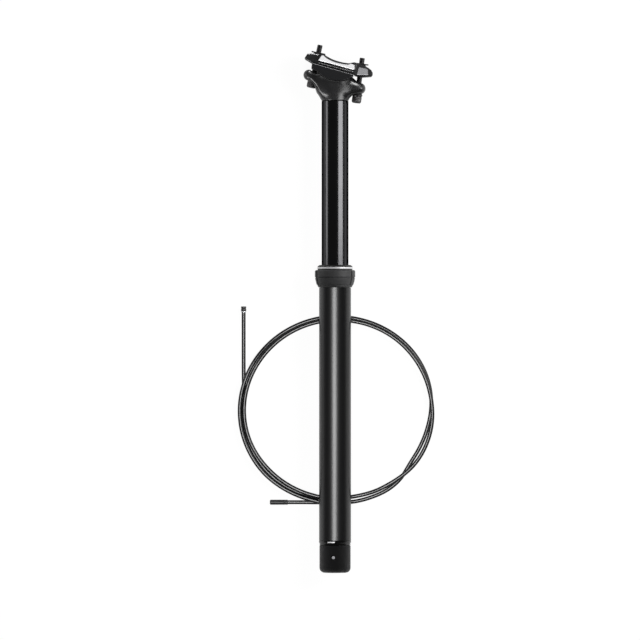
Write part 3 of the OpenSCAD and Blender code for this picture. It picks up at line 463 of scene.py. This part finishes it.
def ring_faces(rings, size, closed):
    """Quads between neighbouring rings; the last ring joins the first, or each end gets a face."""
    faces = []
    for k in range(rings if closed else rings - 1):
        here, there = k * size, (k + 1) % rings * size
        faces += [(here + j, here + (j + 1) % size, there + (j + 1) % size, there + j) for j in range(size)]
    if not closed:
        faces += [tuple(range(size))[::-1], tuple(range((rings - 1) * size, rings * size))]
    return faces


def lathe(name, rings, sides=128):
    """A closed outline of radius and height turned about the post."""
    r, z = np.array(rings, float).T
    a = np.linspace(0, 2 * math.pi, sides, endpoint=False)
    points = np.stack([np.outer(r, np.cos(a)), np.outer(r, np.sin(a)), np.outer(z, np.ones(sides))], axis=2)
    return solid(name, points.reshape(-1, 3), ring_faces(len(r), sides, True))


def rounded(points, r=0.15, steps=3):
    """An outline of radius and height with its corners rounded."""
    points = np.array(points, float)
    out = []
    for before, here, after in zip(np.roll(points, 1, axis=0), points, np.roll(points, -1, axis=0)):
        a, b = before - here, after - here
        cut = min(r, np.linalg.norm(a) / 2.2, np.linalg.norm(b) / 2.2)
        p, q = here + a / np.linalg.norm(a) * cut, here + b / np.linalg.norm(b) * cut
        for t in np.linspace(0, 1, steps + 1):
            out.append(p * (1 - t) ** 2 + here * 2 * t * (1 - t) + q * t * t)
    return out


# ---------------------------------------------------------------- saddle clamp and its head
TROUGH_R, CRADLE_R = 26.36, 26.3
TILT_AT = turned(CLAMP_AT, CLAMP_TILT, 0, TILT_LIFT)
ARMS = [
    (-13, 4), (-17.1, 8.4), (-19.2, 13.2), (-22, 17.2), (-25, 19.6), *arc((-26, 25.5), 5.3, 250, 80, 14),
    (-22.9, 29.5), (-18.6, 27.7), (-15.5, 28.5), (-12, 27.5), (4, 25), (9.97, 20.3), (11.7, 19.5),
    (17.8, 20.1), (22.5, 19), *arc((25.1, 12.1), 5.4, 72, -68, 12), (22, 6.3), (17, 5.4), (12, 3.4), (10, 4),
]
ARM_MIDDLE, ARM_STRAIGHT, ARM_HALF, ARM_TAPER = -0.25, 21, 9.5, 1.7
# The neck: heights above its foot, and how far it reaches to the rear, to the front and in depth there
NECK_REAR = ([-4, 0, 2, 5, 8.4, 13.2, 18], [-13.4, -13.4, -14.2, -15.4, -17.3, -19.3, -20.3])
NECK_FRONT = ([-4, 0, 2, 4.2, 8, 14, 20], [13.4, 13.4, 13.9, 14.8, 16.6, 18, 18.6])
NECK_DEPTH = ([-4, 0, 6, 14, 24, 33], [13.4, 13.35, 13.1, 12.3, 11, 9])
NECK_FOOT, NECK_TOP = 0.14, 24
BOLT_HOLE_R, BALL_SEAT_R, WELL_R, WELL_TOP = 3.3, 5.56, 5.9, 1.65


def head_field(x, y, z):
    """A round neck that flares into two arms, with a trough for the cradle and a seat for each bolt."""
    height, y = z - HEAD_Z, np.abs(y)
    rear, front, depth = [np.interp(height, *table) for table in (NECK_REAR, NECK_FRONT, NECK_DEPTH)]
    neck = (np.hypot((x - (rear + front) / 2) / ((front - rear) / 2), y / depth) - 1) * depth
    neck = both(neck, height - NECK_TOP, 3)
    plan = np.hypot(np.maximum(np.abs(x - ARM_MIDDLE) - ARM_STRAIGHT, 0) / ARM_TAPER, y) - ARM_HALF
    side = outline(ARMS)(x, height)
    body = either(neck, np.where(x < 0, both(plan, side, 3.4), both(plan, side, 5.6)), 3.5)
    body = both(body, NECK_FOOT - height, 0.5)
    body = both(body, TROUGH_R - np.hypot(x - TILT_AT[0], z - TILT_AT[1]), 0.5)
    for seat, lean in ((REAR_SEAT, REAR_LEAN), (FRONT_SEAT, FRONT_LEAN)):
        across, along = turned_back(seat, lean, x, z)
        out = np.hypot(across, y)
        hole = np.minimum(both(out - BOLT_HOLE_R, -along), np.sqrt(out**2 + along**2) - BALL_SEAT_R)
        hole = np.minimum(hole, both(out - WELL_R, along - WELL_TOP))
        body = both(body, -hole, 0.4)
    return body


head = add(solid("forged_head", *surface(
    (-33, -14.5, HEAD_Z - 0.5), (32, 14.5, HEAD_Z + 33), 0.5, head_field
)), "sliding_post", "clamp_black", "head_black")
add(lathe("head_spigot", [
    (5.1, 160.2), (10.95, 160.2), (11.65, 160.9), (11.65, HEAD_Z + 0.6), (5.1, HEAD_Z - 0.6)
]), "sliding_post", "clamp_black", "head_black")
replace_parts(head, "post_head")

# The clamp is drawn in a place of its own: U along the rails, V to the left, W up from the rails' middle
JAW_HALF, BEAM_HALF, ARM_ROOM = 24.9, 11, 10.4
JAW_STEP, PLATE_STEP, EDGE_STEP = 0.45, 0.3, 0.25
CRADLE = [
    (20.3, -3.2), (-22.4, -2.2), (-22, -6.8), (-19.2, -8.1), *arc((0, TILT_LIFT), CRADLE_R, 235.5, 317, 28),
    (20.3, -4.6),
]
WING = [
    (-17.5, 2.1), (-15.4, 9.6), (-12, 8.6), (-8.8, 6.8), (-4, 6.1), (1, 5.7), (7, 5.7), (12.6, 6.3),
    (17.6, 8.6), (20.3, 8.8), (20.3, 2.1),
]
BEAM = [
    (-30.9, 1), (-29.2, 6), (-25.1, 7.3), (-20, 7.8), (-10.8, 8.2), (-8, 7.6), (-4.5, 6.6), (0.9, 6),
    (7, 5.9), (13, 6.3), (17, 7.8), (19.6, 8.2), (30, 8), (33.4, 7), (36.3, 5.6), (38.1, 3.6), (38.6, 1.6),
    (37.7, -0.4), (30, -3), (23.2, -3.8), (21, -3.5), (20.8, -2.6), (-22.4, -1.65), (-22.8, -2.3),
    (-30.4, 0.1),
]
NUT_HEIGHT, REAR_NUT, FRONT_NUT = 6, -18.8, 25.5
NUT_BORE_R, NUT_ROOM_HALF, SLOT_HALF = 5.06, 7.5, 3
NUT_ROOM = [
    (-4.95, 0.4), (4.95, 0.4), (5.3, 2.33), (7.8, 2.09), (8.4, 12), (-8.4, 12), (-7.8, 2.09), (-5.3, 2.33),
]
BOLT_SLOT = [(-2.9, 0.2), (2.9, 0.2), (4.86, -20), (-4.86, -20)]


def saddle_channels(field, v, w):
    """Cuts the channels for the saddle's rails; v is the distance from the clamp's middle."""
    return both(field, CHANNEL_R - np.hypot(v - RAIL_HALF, w), 0.25)


def cradle_field(u, v, w):
    """The half-moon cradle, narrowed to the trough between the arms, slotted and lightened below."""
    v = np.abs(v)
    body = both(outline(CRADLE)(u, w), v - JAW_HALF, 0.5)
    body = both(body, -both(CRADLE_R - np.hypot(u, w - TILT_LIFT), v - ARM_ROOM))
    body = saddle_channels(body, v, w)
    body = both(body, -box(u, -60, -14, v, -9, 3.3), 0.3)
    return both(body, -both(box(u, -12, 14, v, 15.8, 22.2, 1), w + 6.6, 0.8), 0.4)


def upper_clamp_field(u, v, w):
    """A middle beam and two wings, with the nuts' rooms and the bolts' slots."""
    v = np.abs(v)
    beam = both(outline(BEAM)(u, w), v - BEAM_HALF, 0.8)
    wings = both(outline(WING)(u, w), v - JAW_HALF, 0.5)
    body = saddle_channels(either(beam, wings, 0.8), v, w)
    for at, lean in ((REAR_NUT, REAR_LEAN - CLAMP_TILT), (FRONT_NUT, FRONT_LEAN - CLAMP_TILT)):
        x, z = turned_back((at, NUT_HEIGHT), lean, u, w)
        body = both(body, -both(outline(NUT_ROOM)(x, z), v - NUT_ROOM_HALF), 0.2)
        body = both(body, -both(outline(BOLT_SLOT)(x, z), v - SLOT_HALF), 0.2)
        body = both(body, -both(np.hypot(u - at, w - NUT_HEIGHT) - NUT_BORE_R, v - NUT_ROOM_HALF), 0.2)
    return body


def jaw(name, field, lo, hi, step, material="clamp_black", slot="clamp_black"):
    """A piece of the clamp, from its field and the corners of the room it fills."""
    place = leaned(CLAMP_AT, CLAMP_TILT)
    return add(solid(name, *surface(lo, hi, step, field), place), "rail_clamp", slot, material)


def side_plates(name, line, out, half, lo, hi, step, material, r=0.12):
    """Thin plates of one outline, as far out on both sides of the clamp."""
    def field(u, v, w):
        return both(outline(line)(u, w), np.abs(np.abs(v) - out) - half, r)

    return jaw(name, field, lo, hi, step, material, "bright_steel")


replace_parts(jaw(
    "cradle_jaw", cradle_field, (-23.4, -25.6, -15), (21.5, 25.6, -1.4), JAW_STEP
), "lower_cradle")
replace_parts(jaw(
    "upper_jaw", upper_clamp_field, (-32, -25.6, -3.6), (40, 25.6, 10.6), JAW_STEP
), "upper_clamp")

FACET = [
    (-17.3, 1.6), (-15.2, 7.4), (-13.2, 8), (-10.7, 6.3), (-7.6, 5.3), (-3.2, 4.5), (0.9, 4.15), (5, 4.3),
    (9.2, 4.6), (12.7, 5.1), (14.7, 6.9), (19.1, 6.2), (19.9, 1.9), (18.6, 1.3), (0, 1.45),
]
PANEL = [(23.2, 5.9), (23.1, -2.4), (34.4, 0.2), (33, 5.7), (30.4, 6.2)]
TOOTH_PITCH, TOOTH_HIGH, TOOTH_LOW = 1.5, -0.4, -1
TOOTH = (
    (0, TOOTH_LOW), (TOOTH_PITCH / 2, TOOTH_LOW), (TOOTH_PITCH / 2, TOOTH_HIGH), (TOOTH_PITCH, TOOTH_HIGH)
)
TEETH = [
    (-16.6, 0.2), *[(-16.6 + TOOTH_PITCH * k + d, w) for k in range(24) for d, w in TOOTH], (19.4, 0.2),
]
facet = side_plates(
    "polished_wing_facets", FACET, 24.7, 0.3, (-18, -25.4, 0.8), (21, 25.4, 8.8), PLATE_STEP, "polished_facet_and_highlight"
)
panel = side_plates(
    "front_panels", PANEL, 10.85, 0.25, (22, -11.4, -3.2), (35.5, 11.4, 7.2), PLATE_STEP, "machined_grey"
)
teeth = side_plates(
    "jaw_teeth", TEETH, 11.1, 0.5, (-17.4, -11.9, -1.5), (20.2, 11.9, 0.7), EDGE_STEP, "polished_facet_and_highlight", 0
)

REAR_BLOCK = [(-29.2, 5.2), (-25.1, 6.6), (-17.6, 7.1), (-17.6, 7.7), (-25.1, 7.2), (-29.2, 5.9)]
# Thin bright strips on both sides of the clamp: painted highlights along the cradle's rim, on the rear
# block's top and along the rear foot's lower edge
EDGES = (
    ("cradle_rim_highlights", [(-22, -2.3), (20, -3.25), (20, -3.85), (-22, -2.9)], 24.7, "edge_highlight_grey"),
    ("rear_block_top_highlights", REAR_BLOCK, 10.85, "polished_facet_and_highlight"),
    ("rear_foot_edge_highlights", [(-30, 1), (-21.9, -1.5), (-21.9, -2), (-30, 0.4)], 10.85, "edge_highlight_grey"),
)
edges = []
for name, line, out, material in EDGES:
    (lo_u, lo_w), (hi_u, hi_w) = np.min(line, axis=0) - 0.6, np.max(line, axis=0) + 0.6
    lo, hi = (lo_u, -out - 0.8, lo_w), (hi_u, out + 0.8, hi_w)
    edges.append(side_plates(name, line, out, 0.28, lo, hi, EDGE_STEP, material, 0.1))

# ---------------------------------------------------------------- clamp bolts and nuts
NUT_R, NUT_HALF, NUT_HOLE_R = 5, 7, 2.85
SHANK_R, THREAD_PITCH, THREAD_DEPTH, THREAD_FROM = 2.72, 0.8, 0.3, 10.0
CAP_R, CAP_DEPTH, CAP_RIM_R, FLUTES, SOCKET_HALF = 4.6, 6.5, 4.75, 24, 2.0


def nut_field(x, y, z):
    """A barrel across the clamp with a flat plate on top, bored for the bolt."""
    barrel = both(both(np.hypot(x, z) - NUT_R, z - 3), np.abs(y) - NUT_HALF, 0.5)
    flat = both(box(x, -7, 7, z, 2.95, 3.95, 0.3), np.abs(y) - 6.5, 0.6)
    return both(np.minimum(barrel, flat), NUT_HOLE_R - np.hypot(x, y), 0.35)


def bolt_points(length, sides=40, rings_per_turn=8):
    """A shank whose thread starts part way up, as rings of points and the faces between them."""
    thread = np.arange(THREAD_FROM, length - 0.3, THREAD_PITCH / rings_per_turn)
    z = np.concatenate([[0, THREAD_FROM - 1.5], thread, [length - 0.2, length]])[:, None]
    a = np.linspace(0, 2 * math.pi, sides, endpoint=False)
    wave = np.abs(((z / THREAD_PITCH - a / (2 * math.pi)) % 1) * 2 - 1)
    fade = np.clip((z - THREAD_FROM) / 1.5, 0, 1) * np.clip((length - z) / 0.6, 0, 1)
    chamfer = np.clip((z - length + 0.5) / 0.5, 0, 1) * 0.45
    radius = SHANK_R - THREAD_DEPTH * (1 - wave) * fade - chamfer
    points = np.stack([radius * np.cos(a), radius * np.sin(a), np.broadcast_to(z, radius.shape)], axis=2)
    return points.reshape(-1, 3), ring_faces(len(z), sides, False)


def bolt_head_field(x, y, z):
    """A deep fluted cap head with a hex socket below and a thin washer face above."""
    out = np.hypot(x, y)
    fade = np.clip((z + 5.6) / 0.6, 0, 1) * np.clip((-0.2 - z) / 0.5, 0, 1)
    flutes = 0.12 * np.cos(np.arctan2(y, x) * FLUTES) * fade
    cap = both(out - CAP_R - flutes, -CAP_DEPTH - z, 1.7)
    cap = both(cap, z - 0.35, 0.2)
    rim = both(both(out - CAP_RIM_R, z - 1.1, 0.2), 0.3 - z, 0.15)
    rise = y * math.sqrt(3)
    hexagon = np.maximum(np.abs(x), np.maximum(np.abs(x + rise), np.abs(x - rise)) / 2)
    return both(np.minimum(cap, rim), -both(hexagon - SOCKET_HALF, z + 2.6), 0.25)


for side, seat, lean, length, at in (
    ("rear", REAR_SEAT, REAR_LEAN, 37.0, REAR_NUT), ("front", FRONT_SEAT, FRONT_LEAN, 38.7, FRONT_NUT)
):
    place = leaned(seat, lean)
    add(solid(f"{side}_bolt_shank", *bolt_points(length), place), f"{side}_bolt", "black_steel")
    cap = add(solid(f"{side}_bolt_cap", *surface(
        (-5.6, -5.6, -7.1), (5.6, 5.6, 1.7), 0.25, bolt_head_field
    ), place), f"{side}_bolt", "black_steel")
    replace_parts(cap, f"{side}_clamp_bolt")
    nut_at = turned(CLAMP_AT, CLAMP_TILT, at, NUT_HEIGHT)
    nut = add(solid(f"{side}_barrel_nut", *surface(
        (-7.8, -7.8, -5.8), (7.8, 7.8, 4.8), 0.35, nut_field
    ), leaned(nut_at, lean)), f"{side}_nut", "black_steel")
    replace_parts(nut, f"{side}_clamp_nut")

# ---------------------------------------------------------------- collar, seal, foot and release housing
TURNED_STEP = 0.42
COLLAR_SIDE = [
    (14.9, 0.1), (16.5, 0.1), (17.4, 1.4), (18.4, 3.8), (19.3, 7), (19.75, 9.6), (20, 10.6), (20, 16.6),
    (19.5, 17.1), (18.6, 17.6), (16.5, 17.6), (16.5, 9.05), (14.9, 9.05),
]
NOTCHES, NOTCH_HALF, CONE_R = (-35, 85, 205), 0.85, 19


def notch(turn, degrees):
    """The distance to a notch of the collar, measured round its cone."""
    away = (turn - math.radians(degrees) + math.pi) % (2 * math.pi) - math.pi
    return np.abs(away) * CONE_R - NOTCH_HALF


def collar_field(x, y, z):
    """The screwed collar: a plain band, and below it a cone cut into panels by spanner notches."""
    out, turn = np.hypot(x, y), np.arctan2(y, x)
    side = outline(COLLAR_SIDE)(out, z)
    lower = both(side + 0.28, z - 11)
    upper = both(side, 10.55 - z, 0.25)
    gaps = [notch(turn, degrees) for degrees in NOTCHES]
    panels = both(both(side, z - 9.9, 0.3), 2.7 - z, 0.4)
    for gap in gaps:
        panels = both(panels, -gap, 0.3)
    shape = np.minimum(np.minimum(lower + 0.55 * (np.abs(z - 6.4) < 3.9), upper), panels)
    for gap in gaps:
        shape = both(shape, -both(both(gap, 18.9 - out), 2.6 - z), 0.2)
    return shape


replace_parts(add(solid("notched_collar", *surface(
    (-20.6, -20.6, -0.4), (20.6, 20.6, 18.1), TURNED_STEP, collar_field
)), "fixed_tube", "collar_black"), "collar")

SEAL = [
    (13.36, 9.1), (16.35, 9.1), (16.35, 17.7), (17.2, 17.7), (17.2, 18.6), (16.2, 18.6), (16.2, 20.6),
    (17.2, 20.65), (17.2, 21.4), (15.3, 22.6), (13.36, 22.6),
]
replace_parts(add(lathe("wiper", rounded(SEAL, 0.25)), "fixed_tube", "seal_rubber"), "wiper_seal")
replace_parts(add(lathe("seal_band", rounded([
    (16.25, 18.63), (17.65, 18.63), (17.65, 20.58), (16.25, 20.58)
], 0.45, 5)), "fixed_tube", "bright_steel", "soft_silver"), "seal_ring")

FOOT_SIDE = [
    (4.05, -254.9), (15.1, -254.9), (15.35, -254.6), (15.35, -253.2), (15.1, -253), (15.1, -252.8),
    (15.6, -252.6), (15.9, -252), (15.9, -250.8), (15.65, -250.05), (14.15, -250.05), (14.15, -241),
    (4.05, -241),
]
FOOT_NOTCH_AT, FOOT_NOTCH_HALF, FOOT_NOTCH_Z = 88, 1.1, -253.7


def foot_field(x, y, z):
    """The plug under the tube: a bead, a groove, and a rim with a notch on the side seen from above."""
    out = np.hypot(x, y)
    side = outline(FOOT_SIDE)(out, z)
    away = (np.arctan2(-y, x) - math.radians(FOOT_NOTCH_AT)) * 15.5
    gap = both(np.abs(away) - FOOT_NOTCH_HALF, np.abs(z - FOOT_NOTCH_Z) - 0.7, 0.2)
    return both(side, -both(gap, 14.6 - out), 0.2)


LOW_TOP, LOW_FLOOR = -255.1, -276
LOW_SIDE = [
    (0, LOW_TOP), (0, -282.2), *arc((10.4, -277.2), 5, -90, 0, 12), (15.4, -255.35), (15.15, LOW_TOP),
]
PIVOT_X, PIVOT_Z, PIVOT_R = -1.6, -266.9, 1.55
BARREL_X, CABLE_R, SOCKET_R, SOCKET_Z = -9.5, 1, 2.55, -277.2
SCREW_AT, SCREW_R, SCREW_WELL_R, SCREW_WELL_Z = 8, 1.65, 2.95, -278.8


def housing_field(x, y, z):
    """The release housing: a moulded cup with its pin hole, cable socket and screw wells."""
    side = outline(LOW_SIDE)(np.hypot(x, y), z)
    body = both(side, z - LOW_TOP, 0.2)
    cavity = both(box(x, -13.2, 9.2, np.abs(y), -9, 4.2, 1), LOW_FLOOR - z, 0.6)
    pin = np.hypot(x - PIVOT_X, z - PIVOT_Z)
    body = both(body, -both(pin - 2.5, 14.25 - np.abs(y)), 0.35)
    body = both(body, PIVOT_R - pin)
    cable = np.hypot(x - BARREL_X, y)
    body = both(body, -both(cable - SOCKET_R, z - SOCKET_Z), 0.35)
    body = both(body, CABLE_R - cable)
    for s in (-1, 1):
        screw = np.hypot(x - SCREW_AT, y - SCREW_AT * s)
        body = both(body, -np.minimum(screw - SCREW_R, both(screw - SCREW_WELL_R, z - SCREW_WELL_Z)), 0.3)
    return both(body, -cavity, 0.3)


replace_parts(add(solid("release_housing", *surface(
    (-16, -16, -282.9), (16, 16, -254.6), TURNED_STEP, housing_field
)), "fixed_tube", "tube_black", "cap_black"), "actuator_housing")
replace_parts(add(solid("foot_bead", *surface(
    (-16.4, -16.4, -255.4), (16.4, 16.4, -240.4), TURNED_STEP, foot_field
)), "fixed_tube", "black_steel", "bead_black"), "foot_plug")


def arc_strip(name, r0, r1, z0, z1, a0, a1, sides=24):
    """A short piece of a ring between two angles: 0 is the bicycle's front, 90 the side seen from above."""
    section = rounded([(r0, z0), (r1, z0), (r1, z1), (r0, z1)], 0.12, 2)
    turns = np.radians(np.linspace(a0, a1, sides + 1))
    points = [(r * math.cos(t), -r * math.sin(t), z) for t in turns for r, z in section]
    return solid(name, points, ring_faces(sides + 1, len(section), False))


# A thin silver arc on the foot's bead: a painted glint, in place of a lamp's reflection on the bead
add(arc_strip("foot_glint_strip", 15.3, 16, -252.5, -251.2, 91, 118), "fixed_tube", "bright_steel", "soft_silver")

# ---------------------------------------------------------------- ends of the control housing
FERRULE_LENGTH, BAND_FROM, BAND_TO = 17.7, -4.9, -6
UPPER_AT = (UPPER_END[0], -18.4, UPPER_CAP_R - AXIS_HEIGHT)
LOWER_AT = (LOWER_END[0] - FERRULE_LENGTH, LOWER_END[1], LOWER_FERRULE_R - AXIS_HEIGHT)


def end_piece(name, rings, at, axis, node, slot):
    """A turned piece on an end of the housing; axis is its direction in the picture's plane."""
    obj = lathe(name, rounded(rings, 0.25), 48)
    turn = Vector((0, 1, 0)).rotation_difference(Vector((*axis, 0)))
    obj.data.transform(Matrix.Translation(Vector(at) * MM) @ turn.to_matrix().to_4x4())
    add(obj, "fixed_tube", slot)
    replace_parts(obj, node)


end_piece("upper_cap", [
    (0, 0), (2.35, 0), (2.6, -0.3), (2.6, -1.6), (2.3, -1.75), (2.3, -2.1), (2.6, -2.25), (2.6, BAND_FROM),
    (0, BAND_FROM),
], UPPER_AT, (0, 1), "upper_end_cap", "ferrule_plastic")
end_piece("upper_band", [
    (0, BAND_FROM), (2.5, BAND_FROM), (2.5, BAND_TO), (0, BAND_TO)
], UPPER_AT, (0, 1), "upper_end_ring", "bright_steel")
end_piece("lower_ferrule", [
    (0, 0), (1.7, 0), (2.3, -0.35), (2.5, -1), (2.5, -14.6), (2.3, -14.8), (2.3, -15.2), (2.5, -15.4),
    (2.5, -FERRULE_LENGTH), (0, -FERRULE_LENGTH),
], LOWER_AT, (-1, 0), "lower_end_ferrule", "ferrule_plastic")

# ---------------------------------------------------------------- floor, world and lamps
FLOOR_SIZE, FLOOR_GAP = 14, 0.0001
FLOOR_GLOW, FLOOR_SHARE, MIRRORED_SHARE = 1.04, 0.9, 0.45
SKY = ((0.02, 0.36), (0.2, 0.1))  # the ramp's places and their greys, from the horizon up


def combine(tree, operation, a, b):
    """The result of a math node for a socket and a second socket or a number."""
    node = tree.nodes.new("ShaderNodeMath")
    node.operation = operation
    tree.links.new(a, node.inputs[0])
    if isinstance(b, float):
        node.inputs[1].default_value = b
    else:
        tree.links.new(b, node.inputs[1])
    return node.outputs[0]


def build_floor():
    """A matt floor that is white for the camera, dimmer in mirrors, and keeps a shadow."""
    bpy.ops.mesh.primitive_plane_add(size=FLOOR_SIZE, location=(0, 0, -AXIS_HEIGHT * MM - FLOOR_GAP))
    floor = bpy.context.object
    floor.name = "floor"
    mat = bpy.data.materials.new("floor_white")
    mat.use_nodes = True
    tree = mat.node_tree
    make, link = tree.nodes.new, tree.links.new
    tree.nodes.clear()
    out = make("ShaderNodeOutputMaterial")
    paper = make("ShaderNodeBsdfDiffuse")
    paper.inputs["Color"].default_value = (0.95, 0.95, 0.95, 1)
    glow = make("ShaderNodeEmission")
    glow.inputs["Color"].default_value = (1, 1, 1, 1)
    glow.inputs["Strength"].default_value = FLOOR_GLOW
    rays = make("ShaderNodeLightPath")
    mirrored = combine(tree, "MULTIPLY", rays.outputs["Is Glossy Ray"], MIRRORED_SHARE)
    seen = combine(tree, "MAXIMUM", rays.outputs["Is Camera Ray"], mirrored)
    seen = combine(tree, "MAXIMUM", seen, rays.outputs["Is Transmission Ray"])
    mix = make("ShaderNodeMixShader")
    link(combine(tree, "MULTIPLY", seen, FLOOR_SHARE), mix.inputs["Fac"])
    link(paper.outputs[0], mix.inputs[1])
    link(glow.outputs[0], mix.inputs[2])
    link(mix.outputs[0], out.inputs["Surface"])
    floor.data.materials.append(mat)


def build_world():
    """Pale below and at the horizon, darker overhead."""
    world = bpy.data.worlds.new("studio")
    bpy.context.scene.world = world
    world.use_nodes = True
    make, link = world.node_tree.nodes.new, world.node_tree.links.new
    back = world.node_tree.nodes["Background"]
    where = make("ShaderNodeTexCoord")
    split = make("ShaderNodeSeparateXYZ")
    link(where.outputs["Generated"], split.inputs[0])
    ramp = make("ShaderNodeValToRGB")
    for element, (position, grey) in zip(ramp.color_ramp.elements, SKY):
        element.position = position
        element.color = (grey, grey, grey, 1)
    link(split.outputs["Z"], ramp.inputs["Fac"])
    link(ramp.outputs["Color"], back.inputs["Color"])
    back.inputs["Strength"].default_value = 1.0


def softbox(name, angle, distance, y, width, height, radiance):
    """A lamp at an angle from the vertical, positive to the right, that faces the post at height y."""
    a = math.radians(angle)
    data = bpy.data.lights.new(name, "AREA")
    data.shape = "RECTANGLE"
    data.size, data.size_y = width, height
    data.energy = radiance * math.pi * width * height
    lamp = bpy.data.objects.new(name, data)
    bpy.context.scene.collection.objects.link(lamp)
    lamp.location = (math.sin(a) * distance, y, math.cos(a) * distance)
    lamp.rotation_euler = (0, a, 0)
    lamp.visible_camera = False
    return lamp


def aimed(name, place, target, width, height, radiance):
    """A lamp at a place in metres, turned to a target."""
    lamp = softbox(name, 0, 1, 0, width, height, radiance)
    lamp.location = place
    lamp.rotation_euler = (Vector(place) - Vector(target)).to_track_quat("Z", "Y").to_euler()
    return lamp


def lights(lamp, pieces, only=True):
    """Keeps a lamp to these pieces, or away from them."""
    group = bpy.data.collections.new(lamp.name + "_reach")
    for piece in pieces:
        group.objects.link(piece)
    if not only:
        for member in group.collection_objects:
            member.light_linking.link_state = "EXCLUDE"
    lamp.light_linking.receiver_collection = group


def named(*names):
    """Pieces of this file and solids of the frame, by name."""
    return [frame["nodes"].get(name) or bpy.data.objects[name] for name in names]


build_floor()
build_world()
ON_POST = named(
    "stanchion", "forged_head", "cradle_jaw", "upper_jaw", "rear_bolt_shank", "front_bolt_shank",
    "rear_bolt_cap", "front_bolt_cap", "rear_barrel_nut", "front_barrel_nut", "rear_ball_washer",
    "front_ball_washer",
)
BRIGHT = [facet, panel, teeth, *edges]
TUBE = named("outer_tube")
LOW = named("release_housing", "foot_bead")
COLLAR = named("notched_collar", "wiper", "seal_band")
HEAD = named("forged_head", "rear_bolt_cap", "front_bolt_cap")
HEAD_MIDDLE = (0, 0.21, 0)
lights(softbox("tube_softbox", -4.3, 1.2, -0.13, 0.5, 0.62, 17), TUBE)
lights(
    softbox("coil_softbox", -5, 1.2, -0.30, 0.5, 0.62, 7), [*ON_POST, *TUBE, *LOW, *COLLAR, housing], False
)
lights(softbox("strand_softbox", -5, 1.2, -0.20, 0.5, 0.62, 60), [housing])
lights(softbox("post_strip_right", 49, 1.1, 0.30, 0.8, 0.55, 8.5), [*TUBE, *LOW, *BRIGHT], False)
lights(softbox("post_strip_left", -76, 1.0, 0.30, 0.3, 0.55, 4), [*TUBE, *LOW, *BRIGHT], False)
lights(softbox("facet_softbox", 0, 1.2, 0.26, 0.6, 0.5, 0.8), [*BRIGHT, *named("upper_jaw")])
lights(aimed("head_top_softbox", (0.15, 1.2, 0.55), HEAD_MIDDLE, 0.7, 0.9, 19), HEAD)
front_glow = aimed("head_front_softbox", (-0.1, 1.0, 0.95), HEAD_MIDDLE, 0.6, 0.3, 14)
front_glow.data.use_shadow = False
lights(front_glow, named("forged_head"))
lights(aimed("head_left_softbox", (-0.64, -0.25, 0.7), (0, 0.2, 0), 0.36, 0.4, 14), HEAD)
